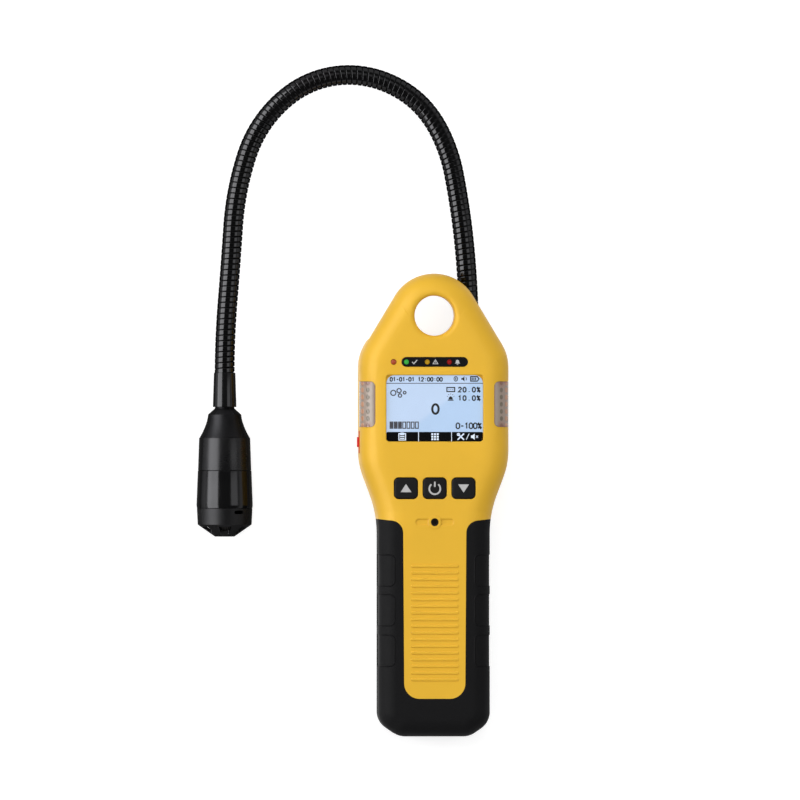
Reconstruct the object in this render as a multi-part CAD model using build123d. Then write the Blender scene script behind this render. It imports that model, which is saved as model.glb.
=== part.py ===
from build123d import *
import os
from math import cos, radians, sin, tan

# Handheld gas leak detector with a gooseneck sensor, lying on its back.
# Origin: middle of the back, on the plane it rests on. +Z out of the display side,
# +Y towards the hanging tab, +X to the right of the display. Millimetres.

# Case outline, seen from the display side
case_bottom = -103.95
head_half = 33.45
grip_half = 25.05
tab_centre = 83.85
tab_radius = 20.3
flank_angle = 31.0
shoulder_radius = 20.0
waist_top = 18.5
waist_top_radius = 33.0
waist_foot = -3.9
waist_foot_radius = 49.0
foot_half = 16.0
foot_slant_rise = 6.3
foot_corner_radius = 9.0

# Case depth and walls
case_depth = 36.0
split_height = 18.0
tab_height = 21.0
front_round = 8.0
back_round = 4.5
wall = 3.0
top_wall_outside = 76.0
top_corner_radius = 5.5
hang_hole_y = 85.2
hang_hole_radius = 9.0
hang_rim_round = 2.5
hang_boss_wall = 2.5
assembly_gap = 0.1
loose_gap = 0.3

# Rubber grip and the yellow tongue it leaves free
grip_skin = 1.4
lobe_top = -6.2
lobe_slope_drop = 1.2
lobe_corner_radius = 5.6
tongue_top_half = 14.2
tongue_foot_half = 13.7
tongue_foot = -86.9
tongue_corner_radius = 6.9
field_inner = 18.0
field_tops = (-22.2, -40.0, -58.2)
field_length = 14.1
field_depth = 0.25
field_corner_radius = 2.2
field_low = 11.0

# Raised ribs on the tongue
rib_count = 18
rib_first = -27.3
rib_pitch = 3.0
rib_half_length = 10.7
rib_width = 1.3
rib_height = 0.5
rib_round = 0.42

# Display
display_y = 43.6
display_width = 43.5
display_height = 29.8
display_corner_radius = 1.5
display_sink = 0.4
display_thickness = 1.4
display_lip = 0.35
view_margin = 1.6
module_margin = 1.5
module_thickness = 4.2
board_gap = 0.2

# Indicator strip and lamps
strip_y = 64.4
strip_width = 29.8
strip_height = 4.3
strip_sink = 0.2
strip_thickness = 1.3
lamp_radius = 1.15
lamp_places = (-12.7, -3.3, 6.6)
spare_lamp_x = -18.5
spare_lamp_radius = 1.25

# Keys
key_y = 7.65
key_pitch = 12.95
key_width = 10.4
key_height = 9.3
key_corner_radius = 2.0
key_proud = 0.3
key_gap = 0.25
key_hole_lip = 0.3
key_travel = 0.7
key_flange = 0.9
key_flange_thickness = 1.1
key_stem_radius = 2.0
switch_size = 6.0
switch_height = 1.3

# Alarm windows on both edges
alarm_y = 45.4
alarm_length = 20.4
alarm_inner = 26.8
alarm_low = 21.0
alarm_corner_radius = 2.4
alarm_lamp_count = 5
alarm_lamp_pitch = 3.3
alarm_lamp_radius = 1.2
alarm_strip_thickness = 1.0
alarm_strip_set_back = 2.2
alarm_strip_clearance = 1.0

# Side button
button_y = 28.4
button_z = 23.0
button_length = 10.0
button_height = 5.0
button_proud = 0.35
nub_length = 4.6
nub_height = 3.6
nub_proud = 1.1
button_travel = 0.8
button_gap = 0.25
button_flange = 1.0
button_flange_thickness = 0.9

# Sounder
sounder_y = -7.6
sounder_hole_radius = 1.8
sounder_ring_radius = 3.0
sounder_ring_height = 0.2
sounder_slot_length = 17.0
sounder_slot_width = 2.8
sounder_slot_depth = 0.4
sounder_radius = 6.0
sounder_height = 4.0

# Main board and its posts
board_thickness = 1.6
board_drop = 4.5
board_side_gap = 3.75
board_top = 70.5
board_step = 10.0
board_foot = -21.0
board_corner_radius = 2.0
post_radius = 2.0
post_inset = 3.0
tail_post_inset = 5.0
post_heights = (19.0, 68.5, -17.0)
chips = ((-2.0, 30.0, 14.0, 12.0, 1.4), (13.5, 29.0, 7.0, 6.0, 1.0), (0.0, 49.0, 12.0, 6.0, 1.2))

# Screws that hold the two halves
screw_places = ((26.0, 64.5), (20.5, -2.0), (15.5, -94.5))
screw_radius = 1.5
screw_head_radius = 2.8
screw_head_thickness = 2.4
screw_length = 20.0
screw_seat = 9.0
boss_radius = 3.2
screw_boss_radius = 4.2

# Gasket between the halves
gasket_inset = 1.9
gasket_width = 0.6
gasket_depth = 0.8

# Battery
cell_radius = 9.15
cell_length = 65.0
cell_y = -54.0
cell_gap = 0.4
holder_floor = 1.6
holder_end = 2.0
holder_rail_height = 8.0

# Small inner parts
motor_radius = 3.5
motor_length = 11.0
motor_y = 18.0
weight_radius = 2.6
weight_length = 4.0
socket_width = 9.0
socket_height = 3.4
socket_length = 7.4
socket_wall = 0.4
socket_z = 24.5
socket_tongue = 0.7
charge_board_width = 22.0
charge_board_length = 11.0
charge_board_thickness = 1.2

# Gland where the hose leaves the case
gland_x = 16.2
gland_thread_radius = 4.2
gland_flange_radius = 6.8
gland_flange_thickness = 3.0
gland_nose_radius = 5.6
gland_nose_length = 4.0
gland_socket_depth = 6.0
gland_nut_width = 14.0
gland_nut_thickness = 3.5

# Gooseneck hose: rigid lengths on captive balls, each bent at rest by its own turn
hose_exit_angle = 91.0
hose_length = 33.24
hose_turns = (4.5, 5.6, 29.8, 43.6, 43.4, 34.0, 14.4, -1.0, 4.7)
ring_count = 11
hose_crest_radius = 4.3
hose_valley_radius = 3.8
hose_stub_radius = 3.7
ball_radius = 3.2
ball_gap = 0.1
joint_gap = 0.15
bend_limit = 35.0

# Sensor head, along the end of the hose
cable_radius = 1.6
sleeve_length = 14.6
sleeve_top_radius = 4.6
sleeve_foot_radius = 5.15
sleeve_bevel = 0.4
collar_neck_radius = 4.4
collar_shoulder_radius = 7.5
collar_foot_radius = 11.3
collar_cone_length = 3.4
collar_flare_length = 10.4
barrel_top_radius = 11.5
barrel_foot_radius = 12.0
barrel_length = 14.8
barrel_wall = 1.6
housing_top_radius = 12.1
housing_foot_radius = 12.7
housing_length = 17.1
housing_wall = 1.8
cap_top_radius = 12.5
cap_edge_radius = 12.15
cap_skirt_length = 7.2
cap_cone_length = 5.4
cap_nose_radius = 4.4
cap_wall = 1.5
vent_count = 6
vent_inner = 6.0
vent_outer = 10.6
vent_inner_width = 3.4
vent_outer_width = 6.0
spanner_slot_angle = 30.0
spanner_slot_width = 4.6
spanner_slot_height = 1.7
spanner_slot_drop = 1.6
element_radius = 9.6
element_length = 15.0
filter_thickness = 0.8
head_board_thickness = 1.4
seal_thickness = 1.0

front_face = case_depth
inner_face = case_depth - wall
board_under = inner_face - board_drop - board_thickness
board_face = inner_face - board_drop
board_half = head_half - wall - board_side_gap
board_tail_half = grip_half - wall - board_side_gap
hose_z = housing_foot_radius
hose_start = top_wall_outside + gland_flange_thickness + gland_nose_length
reach = 3.0 * head_half


# Plain helpers
def slab(face, low, high):
    """Extrude a plan face between two heights."""
    return extrude(Pos(0, 0, low) * face, high - low)


def block(x_span, y_span, z_span):
    """Box between given bounds."""
    spans = (x_span, y_span, z_span)
    centre = [(a + b) / 2 for a, b in spans]
    return Pos(*centre) * Box(*[b - a for a, b in spans])


def post(x, y, radius, low, high):
    """Upright cylinder."""
    return Pos(x, y, (low + high) / 2) * Cylinder(radius, high - low)


def turned(points, x, y, z, angle=-90.0):
    """Revolve a (radius, distance) profile about an axis that starts at a point and runs along angle."""
    profile = make_face(Polyline(*[(r, d) for r, d in points], close=True))
    return Location((x, y, z), (0, 0, angle - 90)) * revolve(profile, Axis.Y)


def rounded_slab(width, height, radius, low, high, x=0.0, y=0.0):
    """Plate with round corners in plan."""
    return slab(Pos(x, y) * RectangleRounded(width, height, radius), low, high)


# Case outlines and forms
def side_corners():
    """Corners of the right side from the foot to the shoulder: x, y and corner radius."""
    lean = radians(flank_angle)
    shoulder = tab_centre + (tab_radius - head_half * cos(lean)) / sin(lean)
    return [
        (foot_half, case_bottom, foot_corner_radius),
        (grip_half, case_bottom + foot_slant_rise, foot_corner_radius),
        (grip_half, waist_foot, waist_foot_radius),
        (head_half, waist_top, waist_top_radius),
        (head_half, shoulder, shoulder_radius),
    ]


def rounded_face(right, middle=()):
    """Closed face from the right side's corners, a middle corner if any, and their mirror images."""
    around = list(right) + list(middle) + [(-x, y, r) for x, y, r in reversed(right)]
    corners = [(x, y) for x, y, r in around]
    return make_face(FilletPolyline(*corners, radius=[r for x, y, r in around], close=True))


def outline(inset=0.0):
    """Whole front view with the tab, moved in by inset."""
    apex = (0, tab_centre + tab_radius / sin(radians(flank_angle)), tab_radius)
    face = rounded_face(side_corners(), [apex])
    return offset(face, amount=-inset) if inset else face


def body_outline(inset=0.0):
    """The outline without the tab, closed by the top wall that holds the gland."""
    below = Pos(0, top_wall_outside - reach) * Rectangle(2 * reach, 2 * reach)
    face = outline() & below
    face = fillet(face.vertices().group_by(Axis.Y)[-1], top_corner_radius)
    return offset(face, amount=-inset) if inset else face


def front_form(inset=0.0, low=tab_height):
    """Front half down to a height, with its soft front edge, moved in by inset."""
    form = slab(outline(inset), low, front_face - inset)
    return fillet(form.edges().group_by(Axis.Z)[-1], front_round - inset)


def back_form(inset=0.0):
    """Back half, with its round back edge, moved in by inset."""
    form = slab(body_outline(inset), inset, split_height)
    return fillet(form.edges().group_by(Axis.Z)[0], back_round - inset)


def grip_plan(with_tongue):
    """Plan of the rubber on one face of the case."""
    far, low = reach, case_bottom - reach
    if not with_tongue:
        return make_face(Polyline((far, lobe_top), (-far, lobe_top), (-far, low), (far, low), close=True))
    side = [
        (far, low, 0),
        (far, lobe_top, 0),
        (grip_half, lobe_top, 0),
        (tongue_top_half, lobe_top - lobe_slope_drop, lobe_corner_radius),
        (tongue_foot_half, tongue_foot, tongue_corner_radius),
    ]
    return rounded_face(side)


def grip_shell():
    """Plain overmould round the handle, as deep as its skin."""
    front_zone = slab(grip_plan(True), split_height, front_face)
    back_zone = slab(grip_plan(False), 0, split_height)
    front = (front_form(0, split_height) & front_zone) - front_form(grip_skin, split_height)
    back = (back_form() & back_zone) - back_form(grip_skin)
    return front + back


def rubber_grip(grip):
    """The overmould with grip fields pressed into its edges, screw holes and the socket's slot."""
    smaller = front_form(field_depth, split_height) + back_form(field_depth)
    for top in field_tops:
        for side in (-1, 1):
            width = grip_half - field_inner + field_corner_radius + wall
            field = rounded_slab(
                width, field_length, field_corner_radius, field_low, front_face,
                side * (field_inner + width / 2), top - field_length / 2,
            )
            grip -= field - smaller
    for x, y in screw_spots():
        if y < lobe_top:
            grip -= post(x, y, screw_head_radius + assembly_gap, 0, grip_skin)
    return grip - socket_opening()


def screw_spots():
    """All screw places, mirrored left and right."""
    return [(side * x, y) for x, y in screw_places for side in (-1, 1)]


def socket_opening():
    """Slot for the charge socket through the foot of the case."""
    half = socket_width / 2 + loose_gap
    tall = socket_height / 2 + loose_gap
    cut = Plane.XZ * RectangleRounded(2 * half, 2 * tall, tall * 0.95)
    return Pos(0, case_bottom + wall + grip_skin, socket_z) * extrude(cut, wall + 2 * grip_skin)


def post_spots():
    """Posts that hold the board: two at the top corners, one in the middle, two on the tail."""
    wide, narrow = board_half - post_inset, board_tail_half - tail_post_inset
    upper, middle, lower = post_heights
    return [(-wide, upper), (wide, upper), (0, middle), (-narrow, lower), (narrow, lower)]


def alarm_prism(side, gap=0.0):
    """Space of one alarm window: round inner corners in plan, open to the side."""
    width = reach
    plan = RectangleRounded(width, alarm_length + 2 * gap, alarm_corner_radius)
    centre = alarm_inner - gap + width / 2
    return slab(Pos(side * centre, alarm_y) * plan, alarm_low - gap, front_face)


def screw_columns():
    """Hollow posts of the front half that take the screws."""
    return [post(x, y, boss_radius, split_height, inner_face + wall / 2) for x, y in screw_spots()]


def key_spots():
    """Centres of the three keys."""
    return [(step * key_pitch, key_y) for step in (-1, 0, 1)]


def front_cover(grip):
    """Front half with the hanging tab and every opening of the display side."""
    shell = front_form() + slab(body_outline(), split_height, tab_height)
    top_wall = block((-reach, reach), (top_wall_outside - wall, top_wall_outside), (0, front_face))
    hang_boss = post(0, hang_hole_y, hang_hole_radius + hang_boss_wall, split_height, front_face)
    room = front_form(wall, split_height) - top_wall - hang_boss
    shell = shell - room
    rooted = front_form(wall / 2, split_height)
    columns = [column & rooted for column in screw_columns()]
    posts = [post(x, y, post_radius, board_face, inner_face + wall / 2) for x, y in post_spots()]
    shell = shell + columns + posts
    shell -= grip
    shell -= post(0, hang_hole_y, hang_hole_radius, 0, front_face)
    rims = shell.edges().filter_by(GeomType.CIRCLE).filter_by(
        lambda e: abs(e.radius - hang_hole_radius) < 0.01 and abs(e.arc_center.Y - hang_hole_y) < 0.01
    )
    shell = fillet(rims.group_by(Axis.Z)[-1], hang_rim_round)
    cuts = [post(x, y, screw_radius, split_height, screw_seat + screw_length) for x, y in screw_spots()]
    pane_low = front_face - display_sink - display_thickness
    cuts.append(rounded_slab(
        display_width + 2 * assembly_gap, display_height + 2 * assembly_gap,
        display_corner_radius + assembly_gap, pane_low, front_face, 0, display_y,
    ))
    cuts.append(rounded_slab(
        display_width - 2 * view_margin, display_height - 2 * view_margin,
        display_corner_radius, inner_face, front_face, 0, display_y,
    ))
    strip_low = front_face - strip_sink - strip_thickness
    lamp_room = lamp_radius + assembly_gap
    cuts.append(slab(
        Pos(0, strip_y) * SlotOverall(strip_width + 2 * assembly_gap, strip_height + 2 * assembly_gap),
        strip_low, front_face,
    ))
    cuts.append(slab(
        Pos(0, strip_y) * SlotOverall(2 * (max(map(abs, lamp_places)) + lamp_room), 2 * lamp_room),
        inner_face, front_face,
    ))
    cuts.append(post(spare_lamp_x, strip_y, spare_lamp_radius + assembly_gap, inner_face, front_face))
    for x, y in key_spots():
        cuts.append(rounded_slab(
            key_width + 2 * key_gap, key_height + 2 * key_gap, key_corner_radius + key_gap,
            inner_face, front_face, x, y,
        ))
    slot = slab(Pos(0, sounder_y) * SlotOverall(sounder_slot_length, sounder_slot_width),
                front_face - sounder_slot_depth, front_face)
    cuts.append(slot)
    for side in (-1, 1):
        cuts.append(alarm_prism(side, assembly_gap))
    cuts.append(block(
        (-reach, -head_half + wall + 1), (button_y - button_length / 2 - button_gap,
                                          button_y + button_length / 2 + button_gap),
        (button_z - button_height / 2 - button_gap, button_z + button_height / 2 + button_gap),
    ))
    cuts.append(socket_opening())
    cuts.append(gland_hole())
    shell = shell - cuts
    shell = soft_lip(shell, 0, display_y, display_width, display_height, display_lip)
    for x, y in key_spots():
        shell = soft_lip(shell, x, y, key_width, key_height, key_hole_lip)
    ring = post(0, sounder_y, sounder_ring_radius, inner_face, front_face + sounder_ring_height)
    shell = shell + [ring] + [rib(rib_first - step * rib_pitch) for step in range(rib_count)]
    return shell - post(0, sounder_y, sounder_hole_radius, inner_face, front_face + 1)


def soft_lip(shell, x, y, width, height, radius):
    """Round the front edge of one opening."""
    far = max(width, height) / 2
    edges = shell.edges().filter_by_position(Axis.Z, front_face - 0.01, front_face + 0.01)
    near = edges.filter_by(
        lambda e: abs(e.center().X - x) < width / 2 + 1 and abs(e.center().Y - y) < height / 2 + 1
        and e.length < 2 * far
    )
    return fillet(near, radius)


def rib(y):
    """One raised bar of the grip with a rounded top."""
    bar = slab(Pos(0, y) * SlotOverall(2 * rib_half_length, rib_width),
               front_face - rib_height, front_face + rib_height)
    return fillet(bar.edges().group_by(Axis.Z)[-1], rib_round)


def gland_hole():
    """Hole in the top wall for the gland's thread."""
    return turned([(0, 0), (gland_thread_radius + assembly_gap, 0),
                   (gland_thread_radius + assembly_gap, wall), (0, wall)],
                  gland_x, top_wall_outside - wall, hose_z, 90)


def back_cover(grip):
    """Back half: floor, walls, screw posts and the gland's hole."""
    room = back_form(wall)
    rooted = back_form(wall / 2)
    columns = [post(x, y, screw_boss_radius, wall / 2, split_height) & rooted for x, y in screw_spots()]
    shell = back_form() - room + columns - grip
    cuts = [gland_hole(), gasket()]
    for x, y in screw_spots():
        cuts.append(post(x, y, screw_radius + assembly_gap, 0, split_height))
        cuts.append(post(x, y, screw_head_radius + assembly_gap, 0, screw_seat))
    return shell - cuts


def gasket():
    """Seal ring let into the rim of the back half."""
    inner = body_outline(gasket_inset + gasket_width)
    return slab(body_outline(gasket_inset) - inner, split_height - gasket_depth, split_height)


def case_screws():
    """Six screws driven from the back."""
    screws = []
    for x, y in screw_spots():
        head = post(x, y, screw_head_radius, screw_seat - screw_head_thickness, screw_seat)
        drive = Pos(x, y, screw_seat - screw_head_thickness + 0.5) * extrude(RegularPolygon(1.4, 6), 1.2)
        shank = post(x, y, screw_radius, screw_seat, screw_seat + screw_length - 2)
        screws.append(head + shank - (Pos(0, 0, -0.5) * drive))
    return screws


# Display, lamps and keys
def display_window():
    """Clear pane in the front recess."""
    top = front_face - display_sink
    return rounded_slab(display_width, display_height, display_corner_radius,
                        top - display_thickness, top, 0, display_y)


def lcd_module():
    """Display module on the board, under the pane."""
    frame = rounded_slab(
        display_width + 2 * module_margin, display_height + 2 * module_margin, 1.0,
        board_face, board_face + module_thickness, 0, display_y,
    )
    glass_top = front_face - display_sink - display_thickness - board_gap
    glass = rounded_slab(
        display_width - 2 * view_margin - 2 * loose_gap, display_height - 2 * view_margin - 2 * loose_gap,
        1.0, board_face + module_thickness - 1, glass_top, 0, display_y,
    )
    return frame + glass


def indicator_window():
    """Dark pill-shaped pane over the three lamps."""
    top = front_face - strip_sink
    return slab(Pos(0, strip_y) * SlotOverall(strip_width, strip_height), top - strip_thickness, top)


def domed_lamp(x, y, radius, top):
    """Round lamp with a domed top that stands on the board."""
    body = post(x, y, radius, board_face, top)
    return fillet(body.edges().group_by(Axis.Z)[-1], radius * 0.6)


def indicator_lamps():
    """Three lamps under the pill window."""
    top = front_face - strip_sink - strip_thickness - board_gap
    return [domed_lamp(x, strip_y, lamp_radius, top) for x in lamp_places]


def alarm_window(side):
    """Clear corner window, cut from the case's own wall."""
    wall_skin = front_form(0, split_height) - front_form(wall, split_height)
    return wall_skin & alarm_prism(side)


def alarm_lamps(side):
    """Upright lamp strip behind one alarm window."""
    outer = head_half - wall - alarm_strip_set_back
    low, high = alarm_low, inner_face - alarm_strip_clearance
    strip = block(
        sorted((side * (outer - alarm_strip_thickness), side * outer)),
        (alarm_y - alarm_length / 2, alarm_y + alarm_length / 2), (low, high),
    )
    lamps = []
    middle = (low + high) / 2
    for step in range(alarm_lamp_count):
        y = alarm_y + (step - (alarm_lamp_count - 1) / 2) * alarm_lamp_pitch
        stub = Pos(0, 0, alarm_lamp_radius / 2) * Cylinder(alarm_lamp_radius, alarm_lamp_radius)
        lamp = Rot(0, side * 90, 0) * stub
        lamp = fillet(lamp.edges().group_by(Axis.X)[-1 if side > 0 else 0], alarm_lamp_radius * 0.7)
        lamps.append(Pos(side * outer, y, middle) * lamp)
    return strip + lamps


def board_plan():
    """Outline of the main board."""
    plan = make_face(Polyline(
        (board_half, board_top), (board_half, board_step), (board_tail_half, board_step),
        (board_tail_half, board_foot), (-board_tail_half, board_foot), (-board_tail_half, board_step),
        (-board_half, board_step), (-board_half, board_top), close=True,
    ))
    return fillet(plan.vertices(), board_corner_radius)


def main_board():
    """Circuit board under the front half's posts, notched round the screw posts."""
    board = slab(board_plan(), board_under, board_face)
    for x, y in screw_spots():
        board -= post(x, y, boss_radius + loose_gap, 0, front_face)
    for x, y, width, height, thickness in chips:
        board += Pos(x, y, board_under - thickness / 2) * Box(width, height, thickness)
    return board


def key(x, y):
    """Push key: cap through the front, flange behind it and a stem over its switch."""
    cap = rounded_slab(key_width, key_height, key_corner_radius,
                       inner_face - loose_gap - key_flange_thickness, front_face + key_proud, x, y)
    cap = fillet(cap.edges().group_by(Axis.Z)[-1], 0.4)
    flange = rounded_slab(
        key_width + 2 * key_flange, key_height + 2 * key_flange, key_corner_radius,
        inner_face - loose_gap - key_flange_thickness, inner_face - loose_gap, x, y,
    )
    stem = post(x, y, key_stem_radius, board_face + switch_height + key_travel + assembly_gap,
                inner_face - loose_gap)
    return cap + flange + stem


def key_switches():
    """Three dome switches on the board."""
    switches = []
    for x, y in key_spots():
        base = rounded_slab(switch_size, switch_size, 0.6, board_face, board_face + switch_height * 0.6, x, y)
        dome = post(x, y, key_stem_radius, board_face, board_face + switch_height)
        switches.append(base + dome)
    return switches


def side_button():
    """Red button in the left wall: plate, nub, and the flange that keeps it in."""
    outside = -head_half
    plate = block(
        (outside - button_proud, outside + wall + button_gap),
        (button_y - button_length / 2, button_y + button_length / 2),
        (button_z - button_height / 2, button_z + button_height / 2),
    )
    plate = fillet(plate.edges().filter_by(Axis.X), 1.2)
    nub = block(
        (outside - nub_proud, outside), (button_y - nub_length / 2, button_y + nub_length / 2),
        (button_z - nub_height / 2, button_z + nub_height / 2),
    )
    nub = fillet(nub.edges().filter_by(Axis.X), 0.8)
    inside = outside + wall + button_gap
    flange = block(
        (inside, inside + button_flange_thickness),
        (button_y - button_length / 2 - button_flange, button_y + button_length / 2 + button_flange),
        (button_z - button_height / 2 - button_flange, button_z + button_height / 2 + button_flange),
    )
    return plate + nub + flange


def side_switch():
    """Switch under the board that the side button pushes."""
    face = -head_half + wall + button_gap + button_flange_thickness + button_travel + assembly_gap
    body = block((face + 0.8, face + 7), (button_y - 3, button_y + 3), (button_z - 3, board_under))
    plunger = block((face, face + 0.8), (button_y - 1.5, button_y + 1.5), (button_z - 1.5, button_z + 1.5))
    return body + plunger


def sounder():
    """Round sounder on the board, under its hole."""
    body = post(0, sounder_y, sounder_radius, board_face, board_face + sounder_height)
    return body - post(0, sounder_y, sounder_hole_radius * 0.6, board_face + 1, board_face + sounder_height)


def vibration_motor():
    """Small motor with an off-centre weight on the floor of the back half."""
    z = wall + motor_radius
    half = motor_length / 2
    lying = Pos(0, motor_y, z) * Rot(0, 90, 0)
    can = lying * Cylinder(motor_radius, motor_length)
    shaft = lying * Pos(0, 0, half + 0.5) * Cylinder(0.5, 2)
    weight = lying * Pos(0, 0, half + 1.0 + weight_length / 2) * Cylinder(weight_radius, weight_length)
    lower_half = block((half, half + 8), (motor_y - 5, motor_y + 5), (0, z + 0.5))
    return can + shaft + (weight & lower_half)


# Battery and charging
def cell_spots():
    """Centres of the two cells across the handle."""
    offset_x = cell_radius + cell_gap / 2
    return (-offset_x, offset_x)


def battery_cell(x):
    """One round cell with its raised end."""
    z = wall + holder_floor + cell_radius + assembly_gap
    can = Pos(x, cell_y, z) * Rot(90, 0, 0) * Cylinder(cell_radius, cell_length)
    can = fillet(can.edges(), 0.8)
    tip = Pos(x, cell_y + cell_length / 2 + 0.5, z) * Rot(90, 0, 0) * Cylinder(2.8, 1.2)
    return can + tip


def battery_holder():
    """Tray under the cells, with end walls and a rail on each side."""
    half = 2 * cell_radius + cell_gap / 2 + loose_gap
    low, high = cell_y - cell_length / 2 - loose_gap, cell_y + cell_length / 2 + 1.3
    z = wall
    top = z + holder_floor + cell_radius
    tray = block((-half - 1, half + 1), (low - holder_end, high + holder_end), (z, z + holder_floor))
    ends = [
        block((-half - 1, half + 1), (low - holder_end, low), (z, top)),
        block((-half - 1, half + 1), (high, high + holder_end), (z, top)),
    ]
    rails = [
        block(sorted((side * half, side * (half + 1))), (low, high), (z, z + holder_rail_height))
        for side in (-1, 1)
    ]
    return tray + ends + rails


def charge_socket():
    """Flat charge socket in the foot of the case."""
    tall = socket_height / 2
    skin = Plane.XZ * RectangleRounded(socket_width, socket_height, tall * 0.9)
    room = Plane.XZ * RectangleRounded(
        socket_width - 2 * socket_wall, socket_height - 2 * socket_wall, (tall - socket_wall) * 0.9)
    mouth = case_bottom + grip_skin
    tube = Pos(0, mouth + socket_length, socket_z) * extrude(skin, socket_length)
    hollow = Pos(0, mouth + socket_length - 1, socket_z) * extrude(room, socket_length)
    tongue = block(
        (-socket_width / 2 + 1.6, socket_width / 2 - 1.6), (mouth + 1, mouth + socket_length),
        (socket_z - socket_tongue / 2, socket_z + socket_tongue / 2),
    )
    return tube - hollow + tongue


def charge_board():
    """Small board under the socket."""
    top = socket_z - socket_height / 2
    low = case_bottom + wall + loose_gap
    return block((-charge_board_width / 2, charge_board_width / 2), (low, low + charge_board_length),
                 (top - charge_board_thickness, top))


# Gland and gooseneck
def hose_gland():
    """Threaded gland: shank through the wall, flange against it and a nose round the hose."""
    base = top_wall_outside
    nose = base + gland_flange_thickness + gland_nose_length
    thread_low = base - wall - gland_nut_thickness
    socket_low = nose - gland_socket_depth
    points = [
        (cable_radius + 0.6, thread_low), (gland_thread_radius, thread_low), (gland_thread_radius, base),
        (gland_flange_radius, base), (gland_flange_radius, base + gland_flange_thickness),
        (gland_nose_radius, nose), (hose_stub_radius + assembly_gap, nose),
        (hose_stub_radius + assembly_gap, socket_low), (cable_radius + 0.6, socket_low),
    ]
    return turned([(r, d - base) for r, d in points], gland_x, base, hose_z, 90)


def gland_nut():
    """Hexagon nut inside the top wall."""
    y = top_wall_outside - wall
    hexagon = Plane.XZ * (RegularPolygon(gland_nut_width / 2, 6, major_radius=False)
                          - Circle(gland_thread_radius + assembly_gap / 2))
    return Pos(gland_x, y, hose_z) * extrude(hexagon, gland_nut_thickness)


def arc_step(length, turn):
    """Chord length and direction change of an arc of given length and turn."""
    half = radians(turn) / 2
    return length * (sin(half) / half if half else 1.0), turn / 2


def hose_frames():
    """Start point and heading of each length, then of the sleeve."""
    x, y, heading = gland_x, hose_start, hose_exit_angle
    frames = [(x, y, heading)]
    for turn in hose_turns:
        chord, lean = arc_step(hose_length, turn)
        along = radians(heading + lean)
        x, y, heading = x + chord * cos(along), y + chord * sin(along), heading + turn
        frames.append((x, y, heading))
    return frames


def hose_ring(turn):
    """One turn of the hose, from valley to valley, between the planes it shares with the next ones."""
    pitch = hose_length / ring_count
    step = turn / ring_count
    slope = (hose_crest_radius - hose_valley_radius) / (pitch / 2)
    half_turn = radians(step) / 2
    reach_y = pitch / 2 + hose_crest_radius * abs(tan(half_turn)) + 0.2
    foot = hose_crest_radius - slope * reach_y
    spindle = turned([(0, -reach_y), (foot, -reach_y), (hose_crest_radius, 0), (foot, reach_y), (0, reach_y)],
                     0, 0, 0, 90)
    chord, lean = arc_step(pitch / 2, step / 2)
    side_x = -chord * sin(radians(lean))
    side_y = chord * cos(radians(lean))
    run = 2 * hose_crest_radius
    corners = []
    for sign_y, order in ((1, (-1, 1)), (-1, (1, -1))):
        for sign_x in order:
            across, along = sign_x * run * cos(half_turn), sign_x * run * sin(half_turn)
            corners.append((side_x + across, sign_y * (side_y + along)))
    wedge = slab(make_face(Polyline(*corners, close=True)), -run, run)
    return spindle & wedge


def relief(angle):
    """Cone of free space at the end of a length, so that it can swing by angle."""
    half = radians(angle) / 2
    wide = 2 * hose_crest_radius
    rise = joint_gap + wide * tan(half)
    return turned([(0, -wide), (wide, -wide), (wide, rise), (0, joint_gap)], 0, 0, 0, 90)


def hose_piece(index, frame):
    """One rigid length of the hose, with a seat at its start and a ball at its end."""
    x, y, heading = frame
    turn = hose_turns[index]
    ring = hose_ring(turn)
    rings = []
    for count in range(ring_count):
        before = hose_length * (count + 0.5) / ring_count
        bent = turn * (count + 0.5) / ring_count
        chord, lean = arc_step(before, bent)
        spot = (-chord * sin(radians(lean)), chord * cos(radians(lean)), 0)
        rings.append(Location(spot, (0, 0, bent)) * ring)
    piece = rings[0] + rings[1:]
    cut = relief(bend_limit)
    if index > 0:
        piece = piece - cut - Sphere(ball_radius + ball_gap)
    else:
        piece = piece + turned(
            [(0, -gland_socket_depth + assembly_gap), (hose_stub_radius, -gland_socket_depth + assembly_gap),
             (hose_stub_radius, 1), (0, 1)], 0, 0, 0, 90)
    chord, lean = arc_step(hose_length, turn)
    end = Location((-chord * sin(radians(lean)), chord * cos(radians(lean)), 0), (0, 0, turn))
    if index < len(hose_turns) - 1:
        piece = piece - end * Rot(0, 0, 180) * cut + end * Sphere(ball_radius)
    return Location((x, y, hose_z), (0, 0, heading - 90)) * piece


# Sensor head, each piece turned about the line that the hose ends on
def head_piece(points, start):
    """Turn a profile whose distances run from the hose's end towards the cap."""
    x, y, heading = hose_frames()[-1]
    return turned([(r, start + d) for r, d in points], x, y, hose_z, heading)


def hose_sleeve():
    """Tapered ferrule crimped on the hose's end."""
    end = sleeve_length
    return head_piece([
        (cable_radius, 0), (sleeve_top_radius - sleeve_bevel, 0), (sleeve_top_radius, sleeve_bevel),
        (sleeve_foot_radius, end - sleeve_bevel), (sleeve_foot_radius - sleeve_bevel, end),
        (cable_radius, end),
    ], 0)


collar_start = sleeve_length
collar_length = collar_cone_length + collar_flare_length
barrel_start = collar_start + collar_length
housing_start = barrel_start + barrel_length
cap_start = housing_start + housing_length


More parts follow.
